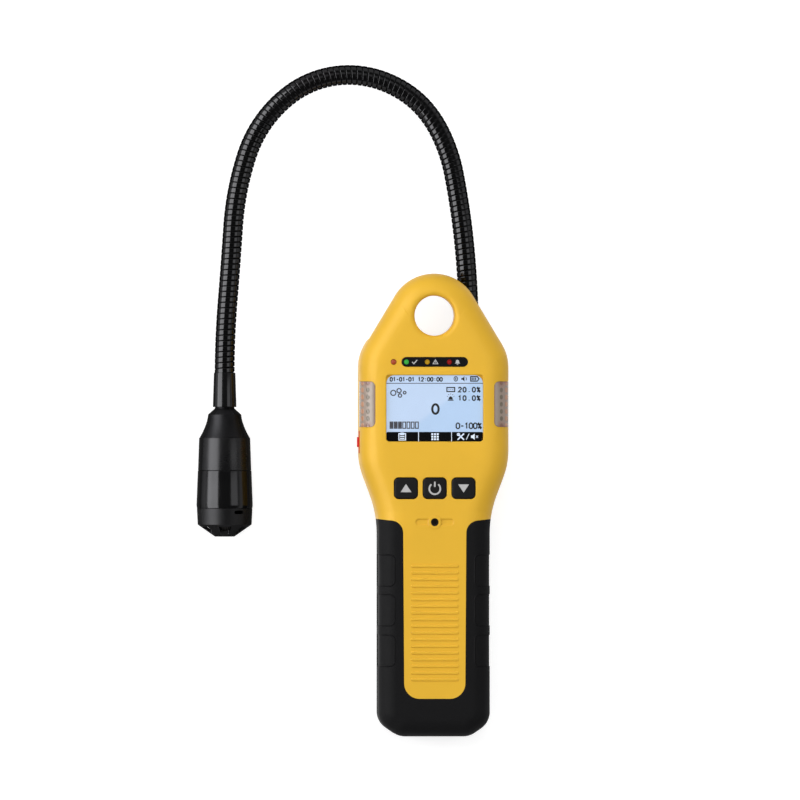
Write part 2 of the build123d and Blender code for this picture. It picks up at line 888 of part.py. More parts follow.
def head_collar():
    """Flared neck of the sensor head."""
    flare = collar_flare_length
    rise = collar_foot_radius - collar_shoulder_radius
    return head_piece([
        (cable_radius, 0), (collar_neck_radius, 0), (collar_neck_radius, 0.6),
        (collar_shoulder_radius, collar_cone_length),
        (collar_shoulder_radius + 0.12 * rise, collar_cone_length + 0.27 * flare),
        (collar_shoulder_radius + 0.40 * rise, collar_cone_length + 0.55 * flare),
        (collar_foot_radius, collar_length), (barrel_top_radius - barrel_wall, collar_length),
        (cable_radius + 1, collar_cone_length + 3),
        (cable_radius, collar_cone_length + 2),
    ], collar_start)


def upper_barrel():
    """First tube of the head, open to the collar and the sensor housing."""
    return head_piece([
        (barrel_top_radius - barrel_wall, 0), (barrel_top_radius - 0.3, 0), (barrel_top_radius, 0.4),
        (barrel_foot_radius, barrel_length), (barrel_foot_radius - barrel_wall, barrel_length),
    ], barrel_start)


def lower_barrel():
    """Second tube of the head, round the sensor element."""
    return head_piece([
        (housing_top_radius - housing_wall, 0), (housing_top_radius, 0),
        (housing_foot_radius, housing_length - 1.5), (housing_foot_radius - 0.2, housing_length),
        (housing_top_radius - housing_wall, housing_length),
    ], housing_start)


def sensor_cap():
    """Vented cap: skirt, cone with a ring of vents, and two slots for the spanner."""
    full = cap_skirt_length + cap_cone_length
    slope = (cap_edge_radius - cap_nose_radius) / cap_cone_length
    cap = head_piece([
        (cap_top_radius - cap_wall, 0), (cap_top_radius, 0), (cap_edge_radius, cap_skirt_length),
        (cap_nose_radius, full), (0, full), (0, full - cap_wall), (cap_nose_radius, full - cap_wall),
        (cap_edge_radius - cap_wall, cap_skirt_length - cap_wall / slope),
    ], cap_start)
    x, y, heading = hose_frames()[-1]
    axis = Location((x, y, hose_z), (0, 0, heading - 90))
    plan = make_face(Polyline(
        (-vent_inner_width / 2, vent_inner), (vent_inner_width / 2, vent_inner),
        (vent_outer_width / 2, vent_outer), (-vent_outer_width / 2, vent_outer), close=True,
    ))
    vent = extrude(fillet(plan.vertices(), 0.5), full)
    for step in range(vent_count):
        turn_to = Rot(0, 360 / vent_count * step, 0) * Rot(-90, 0, 0) * Rot(0, 0, 180)
        cap -= axis * Pos(0, cap_start + cap_skirt_length - cap_wall / slope, 0) * turn_to * vent
    slot = extrude(SlotOverall(spanner_slot_width, spanner_slot_height), 2 * cap_top_radius)
    for half_turn in (0, 180):
        place = Rot(0, half_turn - spanner_slot_angle, 0) * Pos(0, 0, cap_top_radius - 2 * cap_wall)
        cap -= axis * Pos(0, cap_start + spanner_slot_drop, 0) * place * slot
    return cap


def dust_filter():
    """Sintered disc behind the vents."""
    radius = housing_top_radius - housing_wall
    end = housing_length
    near = end - filter_thickness
    return head_piece([(0, near), (radius, near), (radius, end), (0, end)], housing_start)


def sensor_element():
    """Round sensor in the lower barrel, with its gas opening towards the filter."""
    end = housing_length - filter_thickness
    return head_piece([
        (0, end - element_length), (element_radius, end - element_length), (element_radius, end - 0.6),
        (element_radius - 0.6, end), (3, end), (3, end - 1.5), (0, end - 1.5),
    ], housing_start)


def sensor_board():
    """Round board behind the sensor, inside the upper barrel."""
    end = housing_length - filter_thickness - element_length
    radius = barrel_top_radius - barrel_wall - assembly_gap
    near = end - head_board_thickness
    return head_piece([(0, near), (radius, near), (radius, end), (0, end)], housing_start)


def cap_seal():
    """Seal ring inside the cap's skirt, on the face of the filter."""
    outer = cap_edge_radius - cap_wall - loose_gap
    return head_piece([(outer - 1.2, 0), (outer, 0), (outer, seal_thickness), (outer - 1.2, seal_thickness)],
                      cap_start)


def build():
    """Every node by name."""
    shell = grip_shell()
    nodes = {
        "front_cover": front_cover(shell),
        "back_cover": back_cover(shell),
        "rubber_grip": rubber_grip(shell),
        "case_gasket": gasket(),
        "case_screws": case_screws(),
        "display_window": display_window(),
        "lcd_module": lcd_module(),
        "indicator_window": indicator_window(),
        "indicator_lamps": indicator_lamps(),
        "status_lamp": domed_lamp(spare_lamp_x, strip_y, spare_lamp_radius, front_face),
        "main_board": main_board(),
        "key_switches": key_switches(),
        "side_button": side_button(),
        "side_switch": side_switch(),
        "sounder": sounder(),
        "vibration_motor": vibration_motor(),
        "battery_holder": battery_holder(),
        "charge_socket": charge_socket(),
        "charge_board": charge_board(),
        "hose_gland": hose_gland(),
        "gland_nut": gland_nut(),
        "hose_sleeve": hose_sleeve(),
        "head_collar": head_collar(),
        "upper_barrel": upper_barrel(),
        "lower_barrel": lower_barrel(),
        "sensor_cap": sensor_cap(),
        "dust_filter": dust_filter(),
        "sensor_element": sensor_element(),
        "sensor_board": sensor_board(),
        "cap_seal": cap_seal(),
    }
    for name, side in (("left", -1), ("right", 1)):
        nodes["alarm_window_" + name] = alarm_window(side)
        nodes["alarm_lamps_" + name] = alarm_lamps(side)
    for name, spot in zip(("key_up", "key_power", "key_down"), key_spots()):
        nodes[name] = key(*spot)
    for name, x in zip(("battery_cell_left", "battery_cell_right"), cell_spots()):
        nodes[name] = battery_cell(x)
    for index, frame in enumerate(hose_frames()[:-1]):
        nodes["hose_length_%d" % (index + 1)] = hose_piece(index, frame)
    return nodes


def main():
    """Write one file for each node."""
    os.makedirs("parts", exist_ok=True)
    for name, shape in build().items():
        shape = Compound(children=list(shape)) if isinstance(shape, list) else shape
        export_step(shape, "parts/" + name + ".step")
    for index, (x, y, heading) in enumerate(hose_frames()):
        print("hose frame", index, round(x, 4), round(y, 4), round(heading, 3))


main()
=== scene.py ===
import logging
from dataclasses import dataclass
from enum import Enum
from typing import ClassVar, Protocol, Sequence

import bpy
import numpy as np
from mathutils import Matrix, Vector


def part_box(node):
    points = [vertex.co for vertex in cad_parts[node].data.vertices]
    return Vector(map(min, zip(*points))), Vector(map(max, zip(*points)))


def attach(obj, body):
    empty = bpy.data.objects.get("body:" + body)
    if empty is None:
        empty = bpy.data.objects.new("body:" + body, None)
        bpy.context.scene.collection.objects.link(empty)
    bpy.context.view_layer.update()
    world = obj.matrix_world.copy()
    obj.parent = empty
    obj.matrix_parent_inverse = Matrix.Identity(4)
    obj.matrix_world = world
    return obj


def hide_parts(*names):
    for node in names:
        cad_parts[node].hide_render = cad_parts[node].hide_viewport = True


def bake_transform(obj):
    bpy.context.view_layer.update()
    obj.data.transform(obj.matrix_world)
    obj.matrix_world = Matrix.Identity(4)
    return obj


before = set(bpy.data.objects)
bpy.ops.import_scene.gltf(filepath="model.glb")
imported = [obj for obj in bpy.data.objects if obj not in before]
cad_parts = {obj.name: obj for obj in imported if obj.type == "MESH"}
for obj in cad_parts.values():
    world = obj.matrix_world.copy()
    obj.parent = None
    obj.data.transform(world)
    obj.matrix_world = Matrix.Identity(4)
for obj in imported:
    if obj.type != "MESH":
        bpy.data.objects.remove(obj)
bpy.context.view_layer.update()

# Looks of a handheld gas leak detector that lies on its back. Sizes are in millimetres and become
# metres when a mesh is made. +Z points out of the display side, +Y towards the hanging tab.

log = logging.getLogger("detector")
MM = 0.001
TURN = 2.0 * np.pi
Colour = tuple[float, float, float]
BLACK: Colour = (0.0, 0.0, 0.0)


class Slot(Enum):
    """Material slots of the record, one passed with each new piece."""

    DARK_PANE = "dark_pane"
    CLEAR_PANE = "clear_pane"
    DISPLAY = "display"
    LAMP = "lamp"
    KEY_BLACK = "key_black"
    HOSE_BLACK = "hose_black"
    HEAD_BLACK = "head_black"


class Finish(Protocol):
    """Anything with a name that can make its own material."""

    name: str

    def material(self) -> bpy.types.Material:
        """The finish as a material."""


# Shader maths

class Signal:
    """A socket of a node tree that takes part in Python arithmetic, one Math node for each operator."""

    def __init__(self, tree: "NodeTree", socket: bpy.types.NodeSocket) -> None:
        """Wraps one output socket.

        Args:
            tree: The node tree that the socket belongs to.
            socket: The output socket whose value is meant.
        """
        self.tree = tree
        self.socket = socket

    def math(self, operation: str, *values: "Signal | float") -> "Signal":
        """Adds a Math node.

        Args:
            operation: Blender's name of the operation.
            values: The operands, in order.

        Returns:
            The node's result.
        """
        return self.tree.node("ShaderNodeMath", {"operation": operation}, dict(enumerate(values)))

    def __add__(self, other: "Signal | float") -> "Signal":
        """Sum."""
        return self.math("ADD", self, other)

    def __sub__(self, other: "Signal | float") -> "Signal":
        """Difference."""
        return self.math("SUBTRACT", self, other)

    def __rsub__(self, other: float) -> "Signal":
        """A number less this signal."""
        return self.math("SUBTRACT", other, self)

    def __mul__(self, other: "Signal | float") -> "Signal":
        """Product."""
        return self.math("MULTIPLY", self, other)

    def __truediv__(self, other: "Signal | float") -> "Signal":
        """Quotient."""
        return self.math("DIVIDE", self, other)

    def __rtruediv__(self, other: float) -> "Signal":
        """A number divided by this signal."""
        return self.math("DIVIDE", other, self)

    def __pow__(self, other: float) -> "Signal":
        """Power."""
        return self.math("POWER", self, other)

    def __abs__(self) -> "Signal":
        """Size without sign."""
        return self.math("ABSOLUTE", self)

    __radd__ = __add__
    __rmul__ = __mul__

    def sine(self) -> "Signal":
        """Sine of the signal in radians."""
        return self.math("SINE", self)

    def root(self) -> "Signal":
        """Square root."""
        return self.math("SQRT", self)

    def least(self, other: "Signal | float") -> "Signal":
        """The smaller of two."""
        return self.math("MINIMUM", self, other)

    def most(self, other: "Signal | float") -> "Signal":
        """The larger of two."""
        return self.math("MAXIMUM", self, other)

    def ramp(self, low: float, high: float) -> "Signal":
        """Smooth step.

        Args:
            low: Value that becomes 0.
            high: Value that becomes 1.

        Returns:
            The eased share of the way from low to high, kept between 0 and 1.
        """
        settings = {"interpolation_type": "SMOOTHSTEP"}
        return self.tree.node("ShaderNodeMapRange", settings, {0: self, 1: low, 2: high})


class NodeTree:
    """Any node tree, with one method that adds nodes to it."""

    def __init__(self, tree: bpy.types.NodeTree) -> None:
        """Wraps a tree.

        Args:
            tree: A material's or a world's tree.
        """
        self.tree = tree

    def node(self, kind: str, settings: dict, inputs: dict, output: int | str = 0) -> Signal:
        """Adds any node.

        Args:
            kind: The node's type.
            settings: Properties by name, which are set first.
            inputs: Values or signals by socket name or number.
            output: The socket that is returned.

        Returns:
            The chosen output as a signal.
        """
        made = self.tree.nodes.new(kind)
        for name, value in settings.items():
            setattr(made, name, value)
        for key, value in inputs.items():
            self.feed(made.inputs[key], value)
        return Signal(self, made.outputs[output])

    def feed(self, socket: bpy.types.NodeSocket, value: "Signal | float | Sequence[float]") -> None:
        """Links or sets one input socket.

        Args:
            socket: The input.
            value: A signal to link, or a number, a vector or a colour without its alpha to set.
        """
        if isinstance(value, Signal):
            self.tree.links.new(value.socket, socket)
        elif hasattr(socket.default_value, "__len__"):
            socket.default_value = (*value, 1.0)[:len(socket.default_value)]
        else:
            socket.default_value = value

    def blend(self, share: "Signal | float", first: "Signal | Sequence[float]",
              second: "Signal | Sequence[float]") -> Signal:
        """Mixes two colours.

        Args:
            share: 0 gives the first, 1 the second.
            first: A colour.
            second: Another colour.

        Returns:
            The mixed colour.
        """
        return self.node("ShaderNodeMix", {"data_type": "RGBA"}, {0: share, 6: first, 7: second}, 2)


class Shader(NodeTree):
    """One material's node tree with a Principled surface."""

    def __init__(self, name: str) -> None:
        """Starts an empty material.

        Args:
            name: The material's name.
        """
        self.material = bpy.data.materials.new(name)
        self.material.use_nodes = True
        super().__init__(self.material.node_tree)
        self.surface = next(n for n in self.tree.nodes if n.type == "BSDF_PRINCIPLED")
        self.place = self.node("ShaderNodeTexCoord", {}, {}, output="Object")

    def set(self, **values: "Signal | float | Sequence[float]") -> None:
        """Feeds sockets of the surface.

        Args:
            values: Values by socket name, with underscores for spaces.
        """
        for name, value in values.items():
            socket = next(s for s in self.surface.inputs if s.name.lower() == name.replace("_", " "))
            self.feed(socket, value)

    def axes(self) -> tuple[Signal, Signal, Signal]:
        """Object coordinates as three signals in millimetres."""
        apart = [self.node("ShaderNodeSeparateXYZ", {}, {0: self.place}, n) for n in range(3)]
        return tuple(axis * (1.0 / MM) for axis in apart)

    def noise(self, size: float, detail: float = 2.0, roughness: float = 0.5,
              stretch: Sequence[float] = (1.0, 1.0, 1.0)) -> Signal:
        """Cloudy noise over object coordinates.

        Args:
            size: Size of one cloud in millimetres.
            detail: Octaves.
            roughness: Share of each finer octave.
            stretch: How many times finer the pattern is along each axis.

        Returns:
            Noise between 0 and 1.
        """
        place = self.node("ShaderNodeMapping", {}, {"Vector": self.place, "Scale": stretch})
        return self.node("ShaderNodeTexNoise", {}, {
            "Vector": place, "Scale": 1.0 / (size * MM), "Detail": detail, "Roughness": roughness,
        })

    def cells(self, size: float) -> Signal:
        """Distance to the nearest of scattered points, about a cell size apart."""
        return self.node("ShaderNodeTexVoronoi", {}, {"Vector": self.place, "Scale": 1.0 / (size * MM)})

    def bump(self, height: Signal, depth: float, below: Signal | None = None) -> Signal:
        """Bump whose height signal of 1 stands for a depth.

        Args:
            height: The relief, 0 to 1.
            depth: Millimetres that 1 stands for.
            below: A coarser normal to add it to.

        Returns:
            The normal.
        """
        inputs = {"Strength": 1.0, "Distance": depth * MM, "Height": height}
        if below is not None:
            inputs["Normal"] = below
        return self.node("ShaderNodeBump", {}, inputs)


def linear(red: int, green: int, blue: int) -> Colour:
    """Screen colour to scene colour.

    Formula: a share up to 0.04045 is divided by 12.92, and a larger one is ((share + 0.055) / 1.055)^2.4.

    Args:
        red: Red, 0 to 255.
        green: Green, 0 to 255.
        blue: Blue, 0 to 255.

    Returns:
        The colour that the nodes take.
    """
    share = np.array([red, green, blue], float) / 255.0
    low, high = share / 12.92, ((share + 0.055) / 1.055) ** 2.4
    return tuple(np.where(share <= 0.04045, low, high).tolist())


def shade(colour: Sequence[float], factor: float) -> Colour:
    """A colour made darker or lighter by a factor."""
    return tuple(min(1.0, c * factor) for c in colour)


# Finishes

@dataclass(frozen=True)
class Moulding:
    """Moulded plastic or rubber: fine grain, uneven gloss, and faint rubbed or dusty patches."""

    name: str
    colour: Colour
    roughness: float = 0.45
    uneven: float = 0.06
    grain: float = 0.5
    grain_depth: float = 0.012
    dust: float = 0.0
    dust_colour: Colour = (0.3, 0.28, 0.25)
    dust_roughness: float = 0.2
    swing: float = 0.07
    specular: float = 0.5

    def material(self) -> bpy.types.Material:
        """Builds the material: colour swings with wide noise, specks where fine noise peaks, grain as bump.

        Returns:
            The material.
        """
        s = Shader(self.name)
        wide = s.noise(26.0, 3.0, 0.55)
        fine = s.noise(1.6, 4.0, 0.6)
        tone = s.blend(wide, shade(self.colour, 1.0 - self.swing), shade(self.colour, 1.0 + self.swing))
        specks = fine.ramp(0.62, 0.80) * self.dust
        rubbed = s.noise(9.0, 5.0, 0.65)
        colour = s.blend(specks, tone, self.dust_colour)
        grain = s.cells(self.grain) * 0.7 + s.noise(self.grain * 0.6, 2.0) * 0.5
        s.set(base_color=colour,
              roughness=(rubbed - 0.5) * (self.uneven * 2.0) + self.roughness + specks * self.dust_roughness,
              normal=s.bump(grain, self.grain_depth, self.relief(s)), specular_ior_level=self.specular)
        return s.material

    def relief(self, s: Shader) -> Signal | None:
        """Coarser normal under the grain; plain mouldings have none."""
        return None


@dataclass(frozen=True)
class CoverMoulding(Moulding):
    """Yellow cover, whose flat face starts to fall away softly before the round edge begins."""

    head_half: float = 33.45
    grip_half: float = 25.05
    waist_top: float = 18.5
    waist_foot: float = -3.9
    tab_y: float = 83.85
    tab_radius: float = 20.3
    flank: float = 31.0
    soft_from: float = 11.5
    soft_width: float = 4.0
    slope: float = 0.24
    slot_y: float = -7.6
    slot_reach: float = 7.1
    slot_half: float = 1.4
    slot_depth: float = 0.3
    ring_radius: float = 3.0
    ring_rise: float = 0.1
    soft_edge: float = 0.5
    front_from: float = 30.0
    front: float = 31.0

    def slot(self, x: Signal, y: Signal, z: Signal) -> Signal:
        """Soft edges of the sounder's slot and of the ring round its hole.

        Formula: with dx the distance past the slot's straight middle, the slot is where the length of
        (dx, y - slot_y) is under half its width, and the ring where the distance to the hole's centre is
        under the ring's radius; both ease over the soft edge, and only the front face has them.

        Args:
            x: Object coordinate across.
            y: Object coordinate along.
            z: Object coordinate upwards.

        Returns:
            Height in millimetres.
        """
        along = (y - self.slot_y) ** 2.0
        away = ((abs(x) - self.slot_reach).most(0.0) ** 2.0 + along).root()
        floor = 1.0 - away.ramp(self.slot_half - self.soft_edge, self.slot_half + self.soft_edge)
        hole = (x ** 2.0 + along).root()
        ring = 1.0 - hole.ramp(self.ring_radius - self.soft_edge, self.ring_radius + self.soft_edge)
        height = ring * self.ring_rise - (1.0 - ring) * floor * self.slot_depth
        return height * z.ramp(self.front_from, self.front)

    def relief(self, s: Shader) -> Signal:
        """Normal of the soft shoulder, with the slot's soft edges.

        Formula: d is the distance to the case's outline, the least of those to the side, to the flank or
        the tab's arc, and to the waist or the grip's side. With t = (soft_from - d) / soft_width the
        height is -slope * soft_width * (t^2 / 2 up to t = 1, and t - 1/2 beyond).

        Args:
            s: The material.

        Returns:
            The normal.
        """
        x, y, z = s.axes()
        out = abs(x)
        side = self.head_half - out
        lean = np.radians(self.flank)
        level, upright = float(np.cos(lean)), float(np.sin(lean))
        line = self.tab_radius - out * level - (y - self.tab_y) * upright
        below = line.least(self.tab_y + self.tab_radius * upright - y)
        arc = self.tab_radius - (x ** 2.0 + (y - self.tab_y) ** 2.0).root()
        run = np.array([self.head_half - self.grip_half, self.waist_top - self.waist_foot])
        run = run / np.linalg.norm(run)
        waist = (self.head_half - out) * float(run[1]) + (y - self.waist_top) * float(run[0])
        distance = side.least(below.most(arc)).least(waist.most(self.grip_half - out))
        t = ((self.soft_from - distance) / self.soft_width).most(0.0)
        fall = t.least(1.0) ** 2.0 * 0.5 + (t - 1.0).most(0.0)
        return s.bump(fall * (-self.slope * self.soft_width) + self.slot(x, y, z), 1.0)


@dataclass(frozen=True)
class GripMoulding(Moulding):
    """Rubber of the grip, with a fine bead round each of its pressed fields."""

    field_inner: float = 18.0
    field_tops: tuple[float, ...] = (-22.2, -40.0, -58.2)
    field_length: float = 14.1
    corner: float = 2.4
    bead: float = 0.32
    bead_half: float = 0.42

    def relief(self, s: Shader) -> Signal:
        """Normal of the beads.

        Formula: the distance to a rounded box is the length of max(q, 0) plus min(max(q), 0) less the
        corner's radius, with q the distance past the box's inner sides; a bead stands where it is near 0.

        Args:
            s: The material.

        Returns:
            The normal.
        """
        x, y, _ = s.axes()
        across = self.field_inner + self.corner - abs(x)
        beads = None
        for top in self.field_tops:
            along = abs(y - (top - self.field_length / 2)) - (self.field_length / 2 - self.corner)
            away = (across.most(0.0) ** 2.0 + along.most(0.0) ** 2.0).root()
            edge = abs(away + across.most(along).least(0.0) - self.corner)
            bead = 1.0 - edge.ramp(0.0, self.bead_half)
            beads = bead if beads is None else beads.most(bead)
        return s.bump(beads, self.bead)


@dataclass(frozen=True)
class Anodised:
    """Metal turned about Y with a dark anodised skin: fine turning rings and worn paler spots."""

    name: str
    colour: Colour
    roughness: float = 0.26
    metallic: float = 0.92
    ring_pitch: float = 0.22
    ring_depth: float = 0.003
    streaks: float = 9.0
    worn: float = 0.08
    worn_tone: float = 3.0

    def material(self) -> bpy.types.Material:
        """Builds the material: rings are the sine of the distance along the axis over the pitch.

        Returns:
            The material.
        """
        s = Shader(self.name)
        _, y, _ = s.axes()
        rings = (y * (TURN / self.ring_pitch)).sine() * 0.5 + 0.5
        wear = s.noise(5.0, 6.0, 0.68)
        smudge = s.noise(14.0, 3.0, 0.5)
        turned = s.noise(3.0, 3.0, 0.6, (1.0, self.streaks, 1.0))
        worn = wear.ramp(0.60, 0.78) * self.worn
        s.set(base_color=s.blend(worn, s.blend(smudge, shade(self.colour, 0.8), shade(self.colour, 1.25)),
                                 shade(self.colour, self.worn_tone)),
              roughness=(smudge - 0.5) * 0.16 + turned * 0.05 + (self.roughness - 0.02) + worn * 0.12,
              metallic=self.metallic, specular_tint=BLACK,
              normal=s.bump(rings * 0.5 + turned * 0.5, self.ring_depth))
        return s.material


@dataclass(frozen=True)
class Sheath:
    """Black sheath of the gooseneck: glossy with pale scuffs on the turns, matt in the grooves, with painted
    shade darkening them.
    """

    name: str
    colour: Colour
    roughness: float = 0.34
    # Share of the sheath's colour left in the grooves: a painted shade.
    groove_shade: float = 0.35
    scuff_tone: float = 2.6

    def material(self) -> bpy.types.Material:
        """Builds the material: the mesh's own height attribute tells turn from groove.

        Returns:
            The material.
        """
        s = Shader(self.name)
        height = s.node("ShaderNodeAttribute", {"attribute_name": "turn_height"}, {}, "Fac")
        groove = 1.0 - height.ramp(0.25, 0.75)
        scuffs = s.noise(2.4, 6.0, 0.7).ramp(0.58, 0.8)
        wide = s.noise(18.0, 3.0)
        turn = s.blend(scuffs * 0.35, self.colour, shade(self.colour, self.scuff_tone))
        # Painted shade: the colour turns darker down in the grooves, where shade falls.
        colour = s.blend(groove * 0.8, turn, shade(self.colour, self.groove_shade))
        s.set(base_color=colour, metallic=1.0, specular_tint=BLACK,
              roughness=groove * 0.35 + (wide - 0.5) * 0.12 + scuffs * 0.1 + self.roughness,
              normal=s.bump(s.noise(0.35, 3.0, 0.6), 0.004))
        return s.material


@dataclass(frozen=True)
class Pane:
    """Clear or tinted pane: an uneven film, less clear specks of dust, and clear round ports if any."""

    name: str
    colour: Colour
    alpha: float
    roughness: float = 0.12
    ports: tuple[tuple[float, float, float], ...] = ()
    port_alpha: float = 0.2
    port_edge: float = 0.12

    def material(self) -> bpy.types.Material:
        """Builds the material: a port is where the plan distance to its centre is under its radius.

        Returns:
            The material.
        """
        s = Shader(self.name)
        x, y, _ = s.axes()
        film = s.noise(12.0, 4.0, 0.6)
        specks = s.noise(0.9, 3.0, 0.7).ramp(0.66, 0.82)
        alpha = (film - 0.5) * 0.06 + specks * 0.05 + self.alpha
        for port_x, port_y, radius in self.ports:
            away = ((x - port_x) ** 2.0 + (y - port_y) ** 2.0).root()
            port = 1.0 - away.ramp(radius - self.port_edge, radius + self.port_edge)
            alpha = alpha * (1.0 - port) + port * self.port_alpha
        s.set(base_color=s.blend(film, shade(self.colour, 0.92), shade(self.colour, 1.06)),
              roughness=(film - 0.5) * 0.08 + specks * 0.3 + self.roughness, alpha=alpha,
              normal=s.bump(s.noise(1.1, 2.0), 0.0012))
        return s.material


@dataclass(frozen=True)
class LensPane:
    """Clear corner window with moulded lenses: amber lobes outside, dark cups beside them, and painted shade
    in brown along its edges.
    """

    name: str
    clear: Colour
    amber: Colour
    cup: Colour
    # Brown of the painted shade along the window's edges.
    rim: Colour
    centre_y: float = 45.4
    length: float = 20.4
    inner: float = 26.8
    corner: float = 2.4
    lobe_x: float = 32.4
    cup_x: float = 30.0
    pitch: float = 3.2
    alpha: float = 0.86
    cup_clear: float = 0.12
    relief_depth: float = 0.25

    def spots(self, s: Shader, x: Signal, y: Signal, place: float, wide: float, tall: float) -> Signal:
        """Row of soft ellipses.

        Formula: y is folded to its distance from the nearest multiple of the pitch; a spot is where
        ((|x| - place) / wide)^2 + (folded y / tall)^2 is below 1.

        Args:
            s: The material.
            x: Distance from the middle plane.
            y: Distance from the window's middle.
            place: The row's place.
            wide: Half width of a spot.
            tall: Half height of a spot.

        Returns:
            1 inside a spot and 0 outside it.
        """
        folded = s.node("ShaderNodeMath", {"operation": "PINGPONG"}, {0: y, 1: self.pitch / 2})
        away = ((x - place) / wide) ** 2.0 + (folded / tall) ** 2.0
        return 1.0 - away.ramp(0.35, 1.0)

    def material(self) -> bpy.types.Material:
        """Builds the material: clear tone, then cups, lobes and the painted shade along the rim, each laid
        over the last.

        Returns:
            The material.
        """
        s = Shader(self.name)
        x, y, _ = s.axes()
        out, along = abs(x), y - self.centre_y
        cloud = s.noise(2.2, 3.0, 0.6)
        base = s.blend(cloud, shade(self.clear, 0.9), shade(self.clear, 1.1))
        cups = self.spots(s, out, along, self.cup_x, 0.85, 1.25)
        lobes = self.spots(s, out, along, self.lobe_x, 0.8, 1.45)
        ends = abs(along).ramp(self.length / 2 - 3.4, self.length / 2 - 0.6)
        mauve = ends * (1.0 - abs(out - self.cup_x).ramp(0.6, 2.4))
        # Painted shade: darker brown along the window's ends and its inner side.
        rim = abs(along).ramp(self.length / 2 - 0.9, self.length / 2 - 0.1).most(
            1.0 - out.ramp(self.inner + 0.1, self.inner + 0.7))
        colour = s.blend(cups * 0.75 * (0.45 + cloud), base, self.cup)
        colour = s.blend(mauve * 0.65, colour, self.rim)
        colour = s.blend(lobes * 0.85, colour, self.amber)
        colour = s.blend(rim * 0.55, colour, self.rim)
        relief = lobes * 0.8 + cups * 0.5 + cloud * 0.2
        s.set(base_color=colour, roughness=(cloud - 0.5) * 0.1 + 0.24,
              alpha=self.alpha - cups * self.cup_clear, normal=s.bump(relief, self.relief_depth))
        return s.material


@dataclass(frozen=True)
class Lit:
    """Something that glows a little, such as a lamp's lens or a lit mark, with a faint cloud in its tone."""

    name: str
    colour: Colour
    glow: float = 0.4
    roughness: float = 0.2

    def material(self) -> bpy.types.Material:
        """Builds the material: the same colour is reflected and, times the glow, sent out.

        Returns:
            The material.
        """
        s = Shader(self.name)
        cloud = s.noise(1.4, 3.0)
        colour = s.blend(cloud, shade(self.colour, 0.82), shade(self.colour, 1.15))
        s.set(base_color=colour, emission_color=colour, emission_strength=self.glow,
              roughness=(cloud - 0.5) * 0.1 + self.roughness)
        return s.material


@dataclass(frozen=True)
class ScreenGlow:
    """Lit background of the display: two blues that meet on a slant, the paler upper-left one a painted
    reflection, over fine picture dots.
    """

    name: str
    # Paler blue of the painted reflection at the upper left.
    upper: Colour
    lower: Colour
    centre_y: float
    glow: float = 0.45
    slope: float = 1.3
    dot_pitch: float = 0.34

    def material(self) -> bpy.types.Material:
        """Builds the material: the painted reflection's edge is where x less 1.3 times the height passes a
        limit.

        Returns:
            The material.
        """
        s = Shader(self.name)
        x, y, _ = s.axes()
        # Painted reflection: the upper-left side of this edge takes the paler blue.
        painted_reflection = (x - (y - self.centre_y) * self.slope).ramp(-1.0, 3.5)
        dots = (x * (TURN / self.dot_pitch)).sine() * (y * (TURN / self.dot_pitch)).sine()
        cloud = s.noise(15.0, 2.0)
        base = s.blend(painted_reflection, self.upper, self.lower)
        colour = s.blend(dots * 0.03 + cloud * 0.06, base, shade(base_mean(self.upper, self.lower), 0.8))
        s.set(base_color=s.blend(1.0 - self.glow, BLACK, colour), emission_color=colour,
              emission_strength=self.glow, roughness=cloud * 0.05 + 0.3)
        return s.material


def base_mean(first: Sequence[float], second: Sequence[float]) -> Colour:
    """The colour half way between two."""
    return tuple((a + b) / 2.0 for a, b in zip(first, second))


@dataclass(frozen=True)
class WireScreen:
    """Fine woven screen: dark gaps between thin wires that run across and along."""

    name: str
    gap: Colour
    wire: Colour
    pitch: float = 1.0

    def material(self) -> bpy.types.Material:
        """Builds the material: a wire runs where the sine of x or of y + z over the pitch is near its top.

        Returns:
            The material.
        """
        s = Shader(self.name)
        x, y, z = s.axes()
        across = (x * (TURN / self.pitch)).sine()
        down = ((y + z) * (TURN / self.pitch)).sine()
        wires = across.most(down).ramp(0.55, 0.9)
        s.set(base_color=s.blend(wires, self.gap, self.wire), roughness=0.7 - wires * 0.2,
              specular_ior_level=0.1, normal=s.bump(wires, 0.06))
        return s.material


@dataclass(frozen=True)
class Board:
    """Circuit board: green lacquer with copper tracks under it in a fine grid."""

    name: str
    lacquer: Colour = (0.01, 0.10, 0.04)
    track: Colour = (0.05, 0.24, 0.09)
    pitch: float = 1.9
    waver: float = 3.0

    def material(self) -> bpy.types.Material:
        """Builds the material: tracks run where the sine of x or of y over the pitch is near its top.

        Returns:
            The material.
        """
        s = Shader(self.name)
        x, y, _ = s.axes()
        bend = s.noise(7.0, 0.0)
        across = ((x + bend * self.waver) * (TURN / self.pitch)).sine()
        down = ((y + bend * self.waver) * (TURN / self.pitch)).sine()
        tracks = across.most(down).ramp(0.80, 0.92)
        s.set(base_color=s.blend(tracks * 0.8, self.lacquer, self.track),
              roughness=0.42 - tracks * 0.12, normal=s.bump(tracks, 0.03))
        return s.material


@dataclass(frozen=True)
class BareMetal:
    """Bare or plated metal with rolled streaks."""

    name: str
    colour: Colour
    roughness: float = 0.3

    def material(self) -> bpy.types.Material:
        """Builds the material: long noise streaks change the roughness.

        Returns:
            The material.
        """
        s = Shader(self.name)
        streaks = s.noise(2.0, 4.0, 0.6, (1.0, 8.0, 1.0))
        s.set(base_color=s.blend(streaks, shade(self.colour, 0.8), shade(self.colour, 1.1)), metallic=1.0,
              roughness=streaks * 0.2 + (self.roughness - 0.1), normal=s.bump(streaks, 0.004))
        return s.material


